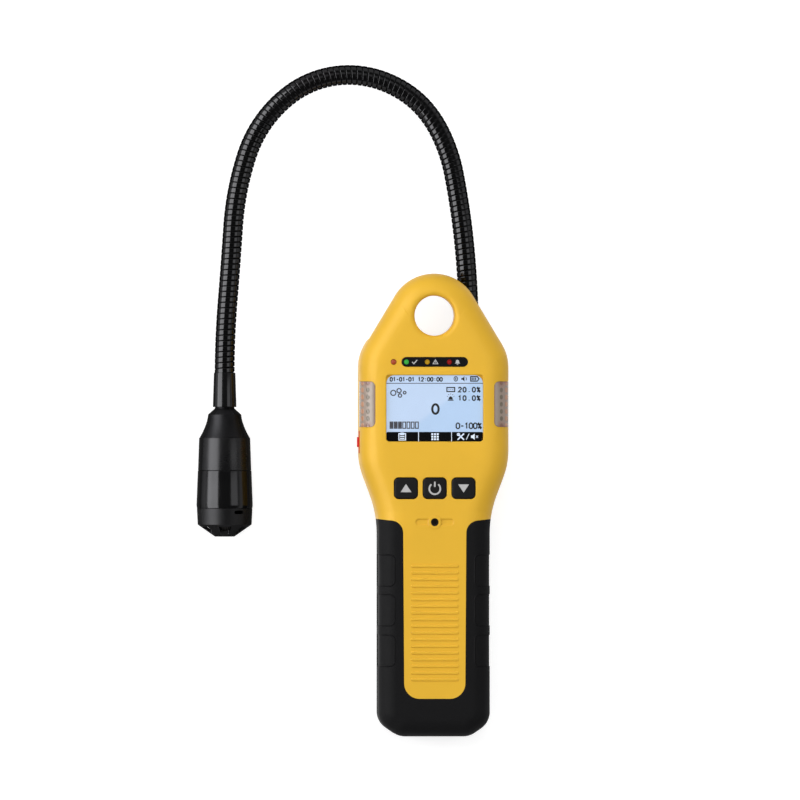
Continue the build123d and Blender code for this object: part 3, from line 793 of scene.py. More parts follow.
YELLOW = CoverMoulding("moulded_yellow", linear(226, 177, 53), roughness=0.42, grain=0.55,
                       grain_depth=0.010, dust=0.06, dust_colour=linear(190, 140, 46), specular=0.12)
RUBBER = GripMoulding("overmoulded_rubber", linear(23, 23, 24), roughness=0.6, grain=0.7,
                      grain_depth=0.03, dust=0.2, dust_colour=linear(44, 43, 41), specular=0.035, uneven=0.1)
KEY_RUBBER = Moulding("key_rubber", linear(22, 22, 23), roughness=0.5, grain=0.4, grain_depth=0.01,
                      dust=0.15, dust_colour=linear(46, 45, 43), specular=0.1)
KEY_PRINT = Moulding("key_print", linear(178, 178, 178), roughness=0.5, grain=0.3, dust=0.1,
                     dust_colour=linear(140, 140, 138))
RED = Moulding("moulded_red", linear(205, 12, 10), roughness=0.3, dust=0.05, dust_colour=linear(150, 10, 10))
DARK_PLASTIC = Moulding("dark_plastic", linear(44, 44, 46), roughness=0.45, dust=0.1,
                        dust_colour=linear(70, 70, 68))
SEAL = Moulding("seal_rubber", linear(38, 38, 38), roughness=0.7, grain_depth=0.02, specular=0.2)
SLEEVED = Moulding("cell_sleeve", linear(40, 96, 150), roughness=0.3, grain_depth=0.004)
HEAD_SKIN = Anodised("head_anodised", (0.026, 0.026, 0.027), roughness=0.28)
COLLAR_SKIN = Anodised("collar_anodised", (0.015, 0.015, 0.016), roughness=0.38)
GLOSS_SKIN = Anodised("housing_anodised", (0.025, 0.025, 0.026), roughness=0.15, ring_depth=0.0015)
CAP_SKIN = Anodised("cap_anodised", (0.022, 0.022, 0.023), roughness=0.42)
SLEEVE_SKIN = Anodised("sleeve_anodised", (0.027, 0.027, 0.028), roughness=0.13, ring_depth=0.001)
HOSE_SKIN = Sheath("hose_sheath", (0.028, 0.028, 0.029), 0.12)
FILTER = Moulding("filter_mesh", linear(20, 20, 21), roughness=0.9, grain=0.4, grain_depth=0.05, specular=0.0)
SCREEN = WireScreen("vent_screen", linear(9, 9, 9), linear(52, 50, 47))
STEEL = BareMetal("bare_steel", linear(190, 190, 188))
CIRCUIT = Board("circuit_board")
INK = Moulding("screen_ink", linear(18, 18, 24), roughness=0.5, grain_depth=0.0)
SOFT_INK = Moulding("screen_soft_ink", linear(62, 62, 72), roughness=0.5, grain_depth=0.0)
ROW_INK = Moulding("screen_row", linear(3, 3, 4), roughness=0.4, grain_depth=0.0, specular=0.1)
ROW_LIGHT = Lit("screen_row_marks", linear(208, 220, 236), 0.35)
GREEN_LAMP = Lit("lamp_green", linear(70, 190, 80), 0.7)
AMBER_LAMP = Lit("lamp_amber", linear(222, 172, 32), 0.45)
RED_LAMP = Lit("lamp_red", linear(178, 28, 26), 0.45)
BROWN_LAMP = Lit("lamp_brown", linear(150, 62, 30), 0.25)
ALARM_GLOW = Lit("alarm_lens", linear(196, 118, 72), 0.15, 0.3)
ALARM_DARK = Moulding("alarm_reflector", linear(96, 98, 88), roughness=0.4, grain_depth=0.0)
# The last colour is the painted shade along the alarm windows' edges.
ALARM_CLEAR = LensPane("alarm_window", linear(154, 139, 126), linear(196, 138, 100), linear(112, 104, 88),
                       linear(150, 104, 92))


# Surfaces

NO_TRIS = np.zeros((0, 3), int)
CORNER_STEPS = 4
EDGE_ROWS = 6
FACE_SHARES = np.linspace(0.86, 0.14, 6)
LEAST_CORNER = 0.25


@dataclass
class Surface:
    """Points in millimetres with the four- and three-cornered faces that join them."""

    points: np.ndarray
    quads: np.ndarray
    tris: np.ndarray

    def join(self, *others: "Surface") -> "Surface":
        """One surface of several: each one's face numbers are raised by the points before it.

        Args:
            others: The surfaces that come after this one.

        Returns:
            The joined surface.
        """
        parts = [self, *others]
        starts = np.cumsum([0] + [len(p.points) for p in parts[:-1]])
        return Surface(
            np.concatenate([p.points for p in parts]),
            np.concatenate([p.quads + start for p, start in zip(parts, starts)]),
            np.concatenate([p.tris + start for p, start in zip(parts, starts)]),
        )

    def moved(self, x: float = 0.0, y: float = 0.0, z: float = 0.0) -> "Surface":
        """The surface shifted."""
        return Surface(self.points + np.array([x, y, z]), self.quads, self.tris)

    def outward(self) -> "Surface":
        """Turns a closed surface's faces outwards.

        Formula: six times the volume is the sum of a.(b x c) over its triangles, and is kept above 0.

        Returns:
            The same surface, or one with every face turned round.
        """
        halves = np.concatenate([self.quads[:, [0, 1, 2]], self.quads[:, [0, 2, 3]], self.tris])
        a, b, c = (self.points[halves[:, n]] for n in range(3))
        if np.einsum("ij,ij->i", a, np.cross(b, c)).sum() >= 0.0:
            return self
        return Surface(self.points, self.quads[:, ::-1], self.tris[:, ::-1])

    def piece(self, name: str, finish: Finish, slot: Slot, sharp: float = 32.0) -> bpy.types.Object:
        """Makes the Blender object.

        Args:
            name: The piece's name.
            finish: A finish whose material the piece gets.
            slot: The record's slot; it is not used.
            sharp: Edges that bend by more than this many degrees stay sharp.

        Returns:
            The new object, at the origin, with its place in its mesh.
        """
        mesh = bpy.data.meshes.new(name)
        mesh.from_pydata((self.points * MM).tolist(), [], self.quads.tolist() + self.tris.tolist())
        mesh.polygons.foreach_set("use_smooth", np.ones(len(mesh.polygons), bool))
        mesh.set_sharp_from_angle(angle=np.radians(sharp))
        mesh.materials.append(Palette.of(finish))
        mesh.update()
        made = bpy.data.objects.new(name, mesh)
        bpy.context.scene.collection.objects.link(made)
        return made


class Palette:
    """Materials made so far, one for each finish."""

    made: dict[str, bpy.types.Material] = {}

    @classmethod
    def of(cls, finish: Finish) -> bpy.types.Material:
        """The finish's material, made the first time it is asked for.

        Args:
            finish: The finish that is meant.

        Returns:
            Its one material.
        """
        if finish.name not in cls.made:
            cls.made[finish.name] = finish.material()
        return cls.made[finish.name]


def grid_quads(rows: int, columns: int, around: bool, over: bool = False) -> np.ndarray:
    """Faces of a grid of points.

    Formula: the cell at row i, column j joins (i, j), (i, j+1), (i+1, j+1) and (i+1, j), where the last
    column meets the first if it goes around and the last row meets the first if it goes over.

    Args:
        rows: Number of rows.
        columns: Number of columns.
        around: True where columns close.
        over: True where rows close.

    Returns:
        An array of four point numbers for each face.
    """
    i, j = np.meshgrid(np.arange(rows if over else rows - 1),
                       np.arange(columns if around else columns - 1), indexing="ij")
    down, right = (i + 1) % rows, (j + 1) % columns
    corners = (i * columns + j, i * columns + right, down * columns + right, down * columns + j)
    return np.stack([c.ravel() for c in corners], axis=1)


def loft(rings: np.ndarray) -> Surface:
    """Closed skin over a stack of closed rings.

    Formula: the rings are joined as a grid that goes around, and each end ring meets its own mean point
    in a fan.

    Args:
        rings: Array of (ring, point, 3).

    Returns:
        The surface with both ends capped.
    """
    rows, columns, _ = rings.shape
    poles = np.stack([rings[0].mean(0), rings[-1].mean(0)])
    points = np.concatenate([rings.reshape(-1, 3), poles])
    here = np.arange(columns)
    after = (here + 1) % columns
    first, last = rows * columns, rows * columns + 1
    fans = np.concatenate([
        np.stack([after, here, np.full(columns, first)], 1),
        np.stack([(rows - 1) * columns + here, (rows - 1) * columns + after, np.full(columns, last)], 1),
    ])
    return Surface(points, grid_quads(rows, columns, True), fans).outward()


def spun(profile: np.ndarray, segments: int, axis_x: float, axis_z: float, start_y: float) -> Surface:
    """Closed wall turned about a line that runs towards -Y.

    Formula: a profile point (r, d) at angle t goes to (axis_x + r cos t, start_y - d, axis_z + r sin t).

    Args:
        profile: Closed outline of (radius, distance) pairs, without a repeated end.
        segments: Steps around.
        axis_x: The axis's place.
        axis_z: The axis's height.
        start_y: Where distance 0 lies.

    Returns:
        The ring-shaped surface.
    """
    angle = np.linspace(0.0, TURN, segments, endpoint=False)[:, None]
    radius, along = profile[:, 0][None, :], profile[:, 1][None, :]
    points = np.stack([axis_x + radius * np.cos(angle), start_y - along + 0.0 * angle,
                       axis_z + radius * np.sin(angle)], axis=-1)
    quads = grid_quads(segments, len(profile), True, over=True)
    return Surface(points.reshape(-1, 3), quads, NO_TRIS).outward()


def softened(corners: Sequence[tuple[float, float]], radius: float) -> np.ndarray:
    """Closed outline with each corner rounded.

    Formula: from each corner c the arc is the curve (1-t)^2 a + 2 t (1-t) c + t^2 b, where a and b lie on
    the two sides, as far from c as the radius or 0.45 of the side, whichever is less.

    Args:
        corners: The outline's corners in order.
        radius: Length taken from each side at a corner.

    Returns:
        Array of points of the rounded outline.
    """
    c = np.array(corners, float)
    before, after = np.roll(c, 1, 0) - c, np.roll(c, -1, 0) - c
    length_before = np.linalg.norm(before, axis=1, keepdims=True)
    length_after = np.linalg.norm(after, axis=1, keepdims=True)
    a = c + before / length_before * np.minimum(radius, 0.45 * length_before)
    b = c + after / length_after * np.minimum(radius, 0.45 * length_after)
    t = np.linspace(0.0, 1.0, CORNER_STEPS + 1)[None, :, None]
    arcs = (1 - t) ** 2 * a[:, None] + 2 * t * (1 - t) * c[:, None] + t ** 2 * b[:, None]
    return arcs.reshape(-1, 2)


def rounded_ring(width: np.ndarray, height: np.ndarray, radius: np.ndarray, steps: int) -> np.ndarray:
    """Rounded rectangles about the origin, one for each size given.

    Formula: each corner is an arc of its radius about the point (width/2 - radius, height/2 - radius),
    mirrored into the four quarters.

    Args:
        width: Widths, one for each ring.
        height: Heights, one for each ring.
        radius: Corner radii, one for each ring.
        steps: Points in each corner.

    Returns:
        Array of (ring, point, 2).
    """
    width, height, radius = (np.atleast_1d(v)[:, None, None] for v in (width, height, radius))
    quarter = np.arange(4)[None, :, None]
    angle = (quarter + np.linspace(0.0, 1.0, steps)[None, None, :]) * TURN / 4.0
    sign_x = np.where((quarter == 0) | (quarter == 3), 1.0, -1.0)
    sign_y = np.where(quarter < 2, 1.0, -1.0)
    x = sign_x * (width / 2 - radius) + radius * np.cos(angle)
    y = sign_y * (height / 2 - radius) + radius * np.sin(angle)
    return np.stack([x, y], -1).reshape(len(width), -1, 2)


def plate(width: float, height: float, radius: float, low: float, high: float, lip: float = 0.3,
          dome: float = 0.0, steps: int = 8) -> Surface:
    """Plate with round corners, a round top edge and a crowned face.

    Formula: rings go straight up to the lip, then in by lip (1 - cos t) and up by lip sin t, and then
    inwards over the face, which rises by dome times (1 - u^2), where u is the share of the way out.

    Args:
        width: Across.
        height: Along.
        radius: Corner radius.
        low: Bottom.
        high: Top at the rim.
        lip: Radius of the top edge.
        dome: Rise of the face's middle.
        steps: Points in each corner.

    Returns:
        The closed plate about the origin.
    """
    t = np.linspace(0.0, TURN / 4.0, EDGE_ROWS)
    half = min(width, height) / 2.0
    inset = np.concatenate([[0.0], lip * (1.0 - np.cos(t)), lip + (half - lip) * (1.0 - FACE_SHARES)])
    level = np.concatenate([[low], high - lip + lip * np.sin(t), high + dome * (1.0 - FACE_SHARES ** 2)])
    corner = np.maximum(radius - inset, LEAST_CORNER * (half - inset))
    flat = rounded_ring(width - 2 * inset, height - 2 * inset, corner, steps)
    lifted = np.broadcast_to(level[:, None, None], (*flat.shape[:2], 1))
    return loft(np.concatenate([flat, lifted], axis=2))


def thick(top: np.ndarray, depth: float, around: bool = False) -> Surface:
    """Thin closed print below a sheet of points.

    Formula: the sheet's rows are followed by the same rows a depth lower, in reverse order, and the band
    closes from its last row over to its first. Where the columns don't close, faces between the upper and
    the lower rows shut each end.

    Args:
        top: Array of (row, column, 3) with the sheet's points.
        depth: Thickness in millimetres.
        around: True where the columns close.

    Returns:
        The closed surface.
    """
    low = top[::-1] - np.array([0.0, 0.0, depth])
    band = np.concatenate([top, low])
    rows, columns, _ = band.shape
    quads = grid_quads(rows, columns, around, over=True)
    if not around:
        ends = []
        half = rows // 2
        row = np.arange(half - 1)
        for column in (0, columns - 1):
            upper, lower = row * columns + column, (rows - 1 - row) * columns + column
            next_upper, next_lower = (row + 1) * columns + column, (rows - 2 - row) * columns + column
            order = [upper, next_upper, next_lower, lower]
            ends.append(np.stack(order if column == 0 else order[::-1], 1))
        quads = np.concatenate([quads, *ends])
    return Surface(band.reshape(-1, 3), quads, NO_TRIS).outward()


def ribbon(path: Sequence[tuple[float, float]], width: float, level: float, depth: float,
           closed: bool = False) -> Surface:
    """Flat printed line.

    Formula: each point moves half a width both ways along the mean of its two sides' normals, divided
    by the cosine of half the turn there.

    Args:
        path: The line's points.
        width: Line width.
        level: Height of its top.
        depth: Thickness.
        closed: True where the last point meets the first.

    Returns:
        The closed surface.
    """
    p = np.array(path, float)
    sides = (np.roll(p, -1, 0) - p) if closed else np.diff(p, axis=0)
    sides = sides / np.linalg.norm(sides, axis=1, keepdims=True)
    normals = np.stack([-sides[:, 1], sides[:, 0]], 1)
    if closed:
        mean = normals + np.roll(normals, 1, 0)
    else:
        mean = np.concatenate([normals[:1], normals]) + np.concatenate([normals, normals[-1:]])
    mean = mean / np.linalg.norm(mean, axis=1, keepdims=True)
    own = normals if closed else np.concatenate([normals, normals[-1:]])
    cosine = np.clip((mean * own).sum(1, keepdims=True), 0.5, 1.0)
    shift = mean / cosine * (width / 2.0)
    flat = np.stack([p + shift, p - shift])
    lifted = np.full((*flat.shape[:2], 1), level)
    return thick(np.concatenate([flat, lifted], 2), depth, around=closed)


def patch(x: float, y: float, width: float, height: float, level: float, depth: float) -> Surface:
    """Flat printed rectangle: a two by two sheet with a thickness.

    Args:
        x: Its centre across.
        y: Its centre along.
        width: Size across.
        height: Size along.
        level: Height of its top.
        depth: Thickness.

    Returns:
        The closed surface.
    """
    across = np.array([-0.5, 0.5]) * width + x
    along = np.array([0.5, -0.5]) * height + y
    sheet = np.stack([*np.meshgrid(across, along), np.full((2, 2), level)], -1)
    return thick(sheet, depth)


def fan(corners: Sequence[tuple[float, float]], level: float, depth: float) -> Surface:
    """Flat printed shape of any outline: the outline as a ring at the bottom and at the top, lofted.

    Args:
        corners: The outline's corners in order.
        level: Height of its top.
        depth: Thickness.

    Returns:
        The closed surface.
    """
    flat = np.array(corners, float)
    heights = np.array([level - depth, level])
    rings = np.stack([np.concatenate([flat, np.full((len(flat), 1), h)], 1) for h in heights])
    return loft(rings)


def circle(x: float, y: float, radius_x: float, radius_y: float, count: int = 28) -> np.ndarray:
    """Points round an ellipse: centre plus (radius_x cos t, radius_y sin t)."""
    t = np.linspace(0.0, TURN, count, endpoint=False)
    return np.stack([x + radius_x * np.cos(t), y + radius_y * np.sin(t)], 1)


# Gooseneck

@dataclass
class Gooseneck:
    """Ringed hose from the gland to the sensor head, along the nine lengths of the solid model."""

    start: tuple[float, float, float] = (16.2, 83.0, 12.7)
    heading: float = 91.0
    length: float = 33.24
    turns: tuple[float, ...] = (4.5, 5.6, 29.8, 43.6, 43.4, 34.0, 14.4, -1.0, 4.7)
    pitch: float = 2.4622
    crest: float = 4.5
    groove: float = 0.5
    band: float = 0.62
    groove_floor: float = 0.07
    roundness: float = 2.5
    inside: float = 0.45
    bow: float = 0.7
    bow_at: float = 96.0
    bow_width: float = 16.0
    samples: int = 24
    around: int = 44
    settle: float = 2.6
    sharp: float = 80.0

    def line(self, distance: np.ndarray) -> tuple[np.ndarray, np.ndarray]:
        """Place and heading at distances along the hose.

        Formula: on length n the heading grows evenly by turns[n], so a point at distance u is a chord of
        u sin(h)/h away from the length's start, in the direction of its start heading plus h, where h is
        half the angle turned so far. The hose then bows outwards by bow times a bell curve of the distance.

        Args:
            distance: Distances from the gland.

        Returns:
            Points as (n, 3) and headings in radians.
        """
        turns = np.radians(np.array(self.turns))
        headings = np.radians(self.heading) + np.concatenate([[0.0], np.cumsum(turns)])
        half = turns / 2.0
        chord = self.length * np.sinc(half / np.pi)
        steps = chord[:, None] * np.stack([np.cos(headings[:-1] + half), np.sin(headings[:-1] + half)], 1)
        starts = np.concatenate([[self.start[:2]], np.array(self.start[:2]) + np.cumsum(steps, 0)])
        number = np.clip((distance / self.length).astype(int), 0, len(turns) - 1)
        along = distance - number * self.length
        lean = turns[number] * along / self.length / 2.0
        reach = along * np.sinc(lean / np.pi)
        direction = headings[number] + lean
        place = starts[number] + reach[:, None] * np.stack([np.cos(direction), np.sin(direction)], 1)
        heading = headings[number] + 2.0 * lean
        bell = self.bow * np.exp(-((distance - self.bow_at) / self.bow_width) ** 2)
        place = place + bell[:, None] * np.stack([np.sin(heading), -np.cos(heading)], 1)
        height = np.full((len(distance), 1), self.start[2])
        return np.concatenate([place, height], 1), heading

    def skin(self, low: float, high: float) -> tuple[Surface, np.ndarray]:
        """Ringed skin between two distances, closed at both ends.

        Formula: at distance s and angle t round the hose the place in the wound turn is the fraction
        f of s/pitch - t/360 degrees. With w = |2f - 1| the height is 1 on the flat band, up to w = band,
        then the root of 1 - u^roundness, with u growing to 1 where the groove's floor begins. The radius
        is the crest less (1 - height) times the groove's depth, which grows by cos t towards the inside of
        the bend.

        Args:
            low: Distance where it starts.
            high: Distance where it ends.

        Returns:
            The surface and the height of each point in its turn, 0 in the groove and 1 on the crest.
        """
        rows = max(3, int(round((high - low) / self.pitch * self.samples)) + 1)
        distance = np.linspace(low, high, rows)
        centre, heading = self.line(distance)
        angle = np.linspace(0.0, TURN, self.around, endpoint=False)
        phase = np.mod(distance[:, None] / self.pitch - angle[None, :] / TURN, 1.0)
        edge = (np.abs(2.0 * phase - 1.0) - self.band) / (1.0 - self.groove_floor - self.band)
        height = np.sqrt(1.0 - np.clip(edge, 0.0, 1.0) ** self.roundness)
        depth = self.groove * (1.0 + self.inside * np.cos(angle))[None, :]
        radius = self.crest - depth * (1.0 - height)
        side = np.stack([-np.sin(heading), np.cos(heading), 0.0 * heading], 1)[:, None, :]
        rise = np.array([0.0, 0.0, 1.0])[None, None, :]
        ring = radius[..., None] * (np.cos(angle)[None, :, None] * side + np.sin(angle)[None, :, None] * rise)
        surface = loft(centre[:, None, :] + ring)
        return surface, np.concatenate([height.ravel(), [0.0, 0.0]])

    def build(self) -> None:
        """Makes one piece for each stretch between the middles of two lengths, bent across their joint."""
        total = self.length * len(self.turns)
        middles = [0.0] + [self.length * (n + 0.5) for n in range(len(self.turns))] + [total]
        bodies = ["housing"] + ["hose_%d" % n for n in range(2, 9)] + ["sensor_head"]
        for number, (low, high) in enumerate(zip(middles[:-1], middles[1:])):
            surface, height = self.skin(low, high)
            made = surface.piece("hose_turns_%d" % (number + 1), HOSE_SKIN, Slot.HOSE_BLACK, self.sharp)
            attribute = made.data.attributes.new("turn_height", "FLOAT", "POINT")
            attribute.data.foreach_set("value", height.astype(np.float32))
            if number == 0:
                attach(made, "housing")
                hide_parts("hose_length_1")
            elif number == len(middles) - 2:
                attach(made, "sensor_head")
                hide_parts("hose_length_9")
            else:
                ends, _ = self.line(np.array([low + self.settle, high - self.settle]))
                bodies[number - 1]
                tuple(ends[1] * MM)
                tuple(ends[0] * MM)
                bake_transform(made)
                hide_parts("hose_length_%d" % number, "hose_length_%d" % (number + 1))
            log.info("hose stretch %d from %.1f to %.1f mm", number + 1, low, high)


# Sensor head

@dataclass
class SensorHead:
    """Turned pieces of the sensor head, on the line that the hose ends on."""

    axis_x: float = -93.7808
    axis_z: float = 12.7
    start_y: float = 58.7183
    segments: int = 128
    bore: float = 1.6
    sleeve_lead: float = 0.9
    sleeve_length: float = 14.6
    sleeve_radius: float = 5.3
    neck_radius: float = 4.4
    neck_length: float = 0.6
    flare_from: float = 3.4
    flare_length: float = 10.4
    flare_radius: float = 7.5
    flare_swell: float = 3.8
    flare_power: float = 1.6
    flare_points: int = 14
    collar_length: float = 13.8
    barrel_length: float = 14.8
    housing_length: float = 17.1
    round_edge: float = 0.3
    collar_edge: float = 0.25
    sharp: float = 40.0
    screen_lead: float = 5.4
    screen_length: float = 5.35
    screen_wall: float = 0.5
    screen_radius: float = 10.3
    screen_nose: float = 4.2
    screen_hole: float = 0.3

    def turned(self, name: str, corners: Sequence[tuple[float, float]], start: float, finish: Finish,
               edge: float) -> None:
        """Spins one closed profile and hangs it on the head.

        Args:
            name: The CAD node that the piece stands for.
            corners: The profile's (radius, distance) corners, distances from the piece's own start.
            start: The piece's start along the head.
            finish: Its finish.
            edge: Length that each corner's rounding takes.
        """
        surface = spun(softened(corners, edge), self.segments, self.axis_x, self.axis_z, self.start_y - start)
        made = surface.piece(name + "_turned", finish, Slot.HEAD_BLACK, self.sharp)
        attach(made, "sensor_head")
        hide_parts(name)
        log.info("%s turned", name)

    def flare(self) -> list[tuple[float, float]]:
        """Outer line of the collar: neck, cone, then a swelling flare.

        Formula: the flare's radius is the first radius plus the swell times u to the flare's power, where u
        is the share of its length.

        Returns:
            The (radius, distance) pairs.
        """
        u = np.linspace(0.0, 1.0, self.flare_points)
        radius = self.flare_radius + self.flare_swell * u ** self.flare_power
        along = self.flare_from + self.flare_length * u
        neck = [(self.neck_radius, 0.0), (self.neck_radius, self.neck_length)]
        return [*neck, *zip(radius.tolist(), along.tolist())]

    def build(self) -> None:
        """Makes the sleeve, the collar, both barrels and the screen behind the vents."""
        sleeve, collar = self.sleeve_length, self.collar_length
        barrel, housing = self.barrel_length, self.housing_length
        self.turned("hose_sleeve", [
            (self.bore, -self.sleeve_lead), (4.85, -self.sleeve_lead), (self.sleeve_radius, sleeve - 0.6),
            (self.sleeve_radius, sleeve), (self.bore, sleeve),
        ], 0.0, SLEEVE_SKIN, self.round_edge)
        self.turned("head_collar", [
            *self.flare(), (9.9, collar), (2.6, 6.4), (self.bore, 5.4), (self.bore, 0.0),
        ], sleeve, COLLAR_SKIN, self.collar_edge)
        start = sleeve + collar
        self.turned("upper_barrel", [
            (9.9, 0.0), (11.5, 0.0), (12.0, barrel), (10.4, barrel),
        ], start, HEAD_SKIN, self.round_edge)
        start += barrel
        self.turned("lower_barrel", [
            (10.3, 0.0), (12.1, 0.0), (12.7, housing - 1.5), (12.5, housing), (10.3, housing),
        ], start, GLOSS_SKIN, self.round_edge)
        self.screen(start + housing)

    def screen(self, start: float) -> None:
        """Woven cone just behind the cap's vents.

        Formula: rings of radius r at distance d run from the axis out along the inner side, over the rim and
        back along the outer side, and each end is closed at the axis.

        Args:
            start: The cap's start along the head.
        """
        far = start + self.screen_lead + self.screen_length
        near, wall = start + self.screen_lead, self.screen_wall
        sides = np.array([
            (self.screen_hole, far - wall), (self.screen_nose - wall / 2, far - wall),
            (self.screen_radius - wall, near), (self.screen_radius, near),
            (self.screen_radius, near + wall), (self.screen_nose, far), (self.screen_hole, far),
        ])
        angle = np.linspace(0.0, TURN, self.segments, endpoint=False)[None, :]
        radius, distance = sides[:, :1], sides[:, 1:]
        rings = np.stack([self.axis_x + radius * np.cos(angle), self.start_y - distance + 0.0 * angle,
                          self.axis_z + radius * np.sin(angle)], -1)
        made = loft(rings).piece("vent_screen", SCREEN, Slot.HEAD_BLACK)
        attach(made, "sensor_head")
        log.info("screen behind the vents")


# Display side

@dataclass
class Display:
    """Picture, pane and marks of the display."""

    centre_y: float = 43.6
    width: float = 43.5
    height: float = 29.8
    corner: float = 1.5
    pane_low: float = 34.2
    pane_high: float = 35.6
    picture: float = 34.55
    ink: float = 0.04
    row_height: float = 4.25
    bar_line: float = 11.2

    strokes: ClassVar[dict[str, list[list[tuple[float, float]]]]] = {
        "0": [[(0.3, 0), (0.7, 0), (1, 0.35), (1, 1.25), (0.7, 1.6), (0.3, 1.6), (0, 1.25), (0, 0.35),
               (0.3, 0)]],
        "1": [[(0.15, 1.25), (0.55, 1.6), (0.55, 0)]],
        "2": [[(0, 1.25), (0.3, 1.6), (0.7, 1.6), (1, 1.3), (0.95, 0.95), (0, 0), (1, 0)]],
        "-": [[(0.15, 0.75), (0.85, 0.75)]],
        ":": [[(0.5, 1.0), (0.5, 1.25)], [(0.5, 0.3), (0.5, 0.55)]],
        ".": [[(0.5, 0.0), (0.5, 0.22)]],
        "%": [[(0.05, 0), (0.95, 1.6)], [(0.0, 1.35), (0.2, 1.6), (0.4, 1.35), (0.2, 1.1), (0.0, 1.35)],
              [(0.6, 0.25), (0.8, 0.5), (1.0, 0.25), (0.8, 0.0), (0.6, 0.25)]],
    }

    def at(self, points: Sequence[tuple[float, float]]) -> np.ndarray:
        """Screen points moved to the display's place."""
        return np.array(points, float) + np.array([0.0, self.centre_y])

    def line(self, points: Sequence[tuple[float, float]], width: float, closed: bool = False) -> Surface:
        """One printed line on the picture."""
        return ribbon(self.at(points), width, self.picture + self.ink, self.ink, closed)

    def shape(self, points: Sequence[tuple[float, float]]) -> Surface:
        """One filled shape on the picture."""
        return fan(self.at(points), self.picture + self.ink, self.ink)

    def box(self, x: float, y: float, width: float, height: float) -> Surface:
        """One filled rectangle on the picture."""
        return patch(x, y + self.centre_y, width, height, self.picture + self.ink, self.ink)

    def numerals(self, text: str, x: float, y: float, size: float, step: float, weight: float) -> Surface:
        """Row of numerals drawn with strokes.

        Args:
            text: Numerals and marks that strokes holds; a space leaves a gap.
            x: Left end.
            y: Base line.
            size: Width of a numeral, which is 1.6 times as high.
            step: Distance from one to the next.
            weight: Line width.

        Returns:
            All the strokes as one surface.
        """
        lines = []
        for place, sign in enumerate(text):
            for stroke in self.strokes.get(sign, []):
                points = np.array(stroke, float) * size + np.array([x + place * step, y])
                ring = stroke[0] == stroke[-1]
                lines.append(self.line(points[:-1] if ring else points, weight, ring))
        return lines[0].join(*lines[1:])

    def icons(self) -> Surface:
        """Status bar and threshold icons: a ring, a horn, a cell, a framed card and a flashing lamp.

        Returns:
            All of them as one surface.
        """
        bar = 13.2
        horn = self.shape([(12.0, bar - 0.4), (12.6, bar - 0.4), (13.4, bar - 1.15), (13.4, bar + 1.15),
                           (12.6, bar + 0.4), (12.0, bar + 0.4)])
        wave = self.line([(14.0, bar - 0.7), (14.35, bar), (14.0, bar + 0.7)], 0.3)
        ring = self.line(circle(9.5, bar, 0.8, 1.05, 12), 0.35, True)
        bars = self.line([(9.5, bar - 0.6), (9.5, bar + 0.6)], 0.45)
        cell = self.line([(16.2, bar - 1.0), (19.2, bar - 1.0), (19.9, bar), (19.2, bar + 1.0),
                          (16.2, bar + 1.0)], 0.5, True)
        charge = [self.box(16.9 + 0.75 * n, bar, 0.45, 1.2) for n in range(3)]
        card = self.line([(5.5, 7.5), (9.0, 7.5), (9.0, 9.3), (5.5, 9.3)], 0.5, True)
        dots = [self.box(6.4 + 0.85 * n, 8.4, 0.35, 0.3) for n in range(3)]
        base = self.box(7.2, 3.6, 2.6, 0.4)
        dome = self.shape([(6.2, 3.9), (8.2, 3.9), (7.9, 5.0), (7.2, 5.4), (6.5, 5.0)])
        rays = [self.line([(7.2 + 1.25 * dx, 4.9 + 1.25 * dy), (7.2 + 1.75 * dx, 4.9 + 1.75 * dy)], 0.22)
                for dx, dy in ((-0.95, 0.3), (-0.6, 0.8), (0.0, 1.0), (0.6, 0.8), (0.95, 0.3))]
        return horn.join(wave, ring, bars, cell, *charge, card, *dots, base, dome, *rays)

    def soft_marks(self) -> Surface:
        """Paler marks on the left: a cluster of bubbles above, and a row of level cells below.

        Returns:
            All of them as one surface.
        """
        bubbles = [self.line(circle(x, y, r, r, 20), 0.5, True)
                   for x, y, r in ((-18.6, 6.9, 1.15), (-16.0, 7.9, 0.95), (-15.6, 5.7, 0.75),
                                   (-13.5, 7.0, 0.6))]
        cells = [self.line([(x - 0.62, -9.0), (x + 0.62, -9.0), (x + 0.62, -6.2), (x - 0.62, -6.2)], 0.46,
                           True) for x in (-19.4 + 1.9 * n for n in range(7))]
        full = [self.box(-19.4 + 1.9 * n, -7.6, 0.8, 2.3) for n in range(3)]
        return bubbles[0].join(*bubbles[1:], *cells, *full)

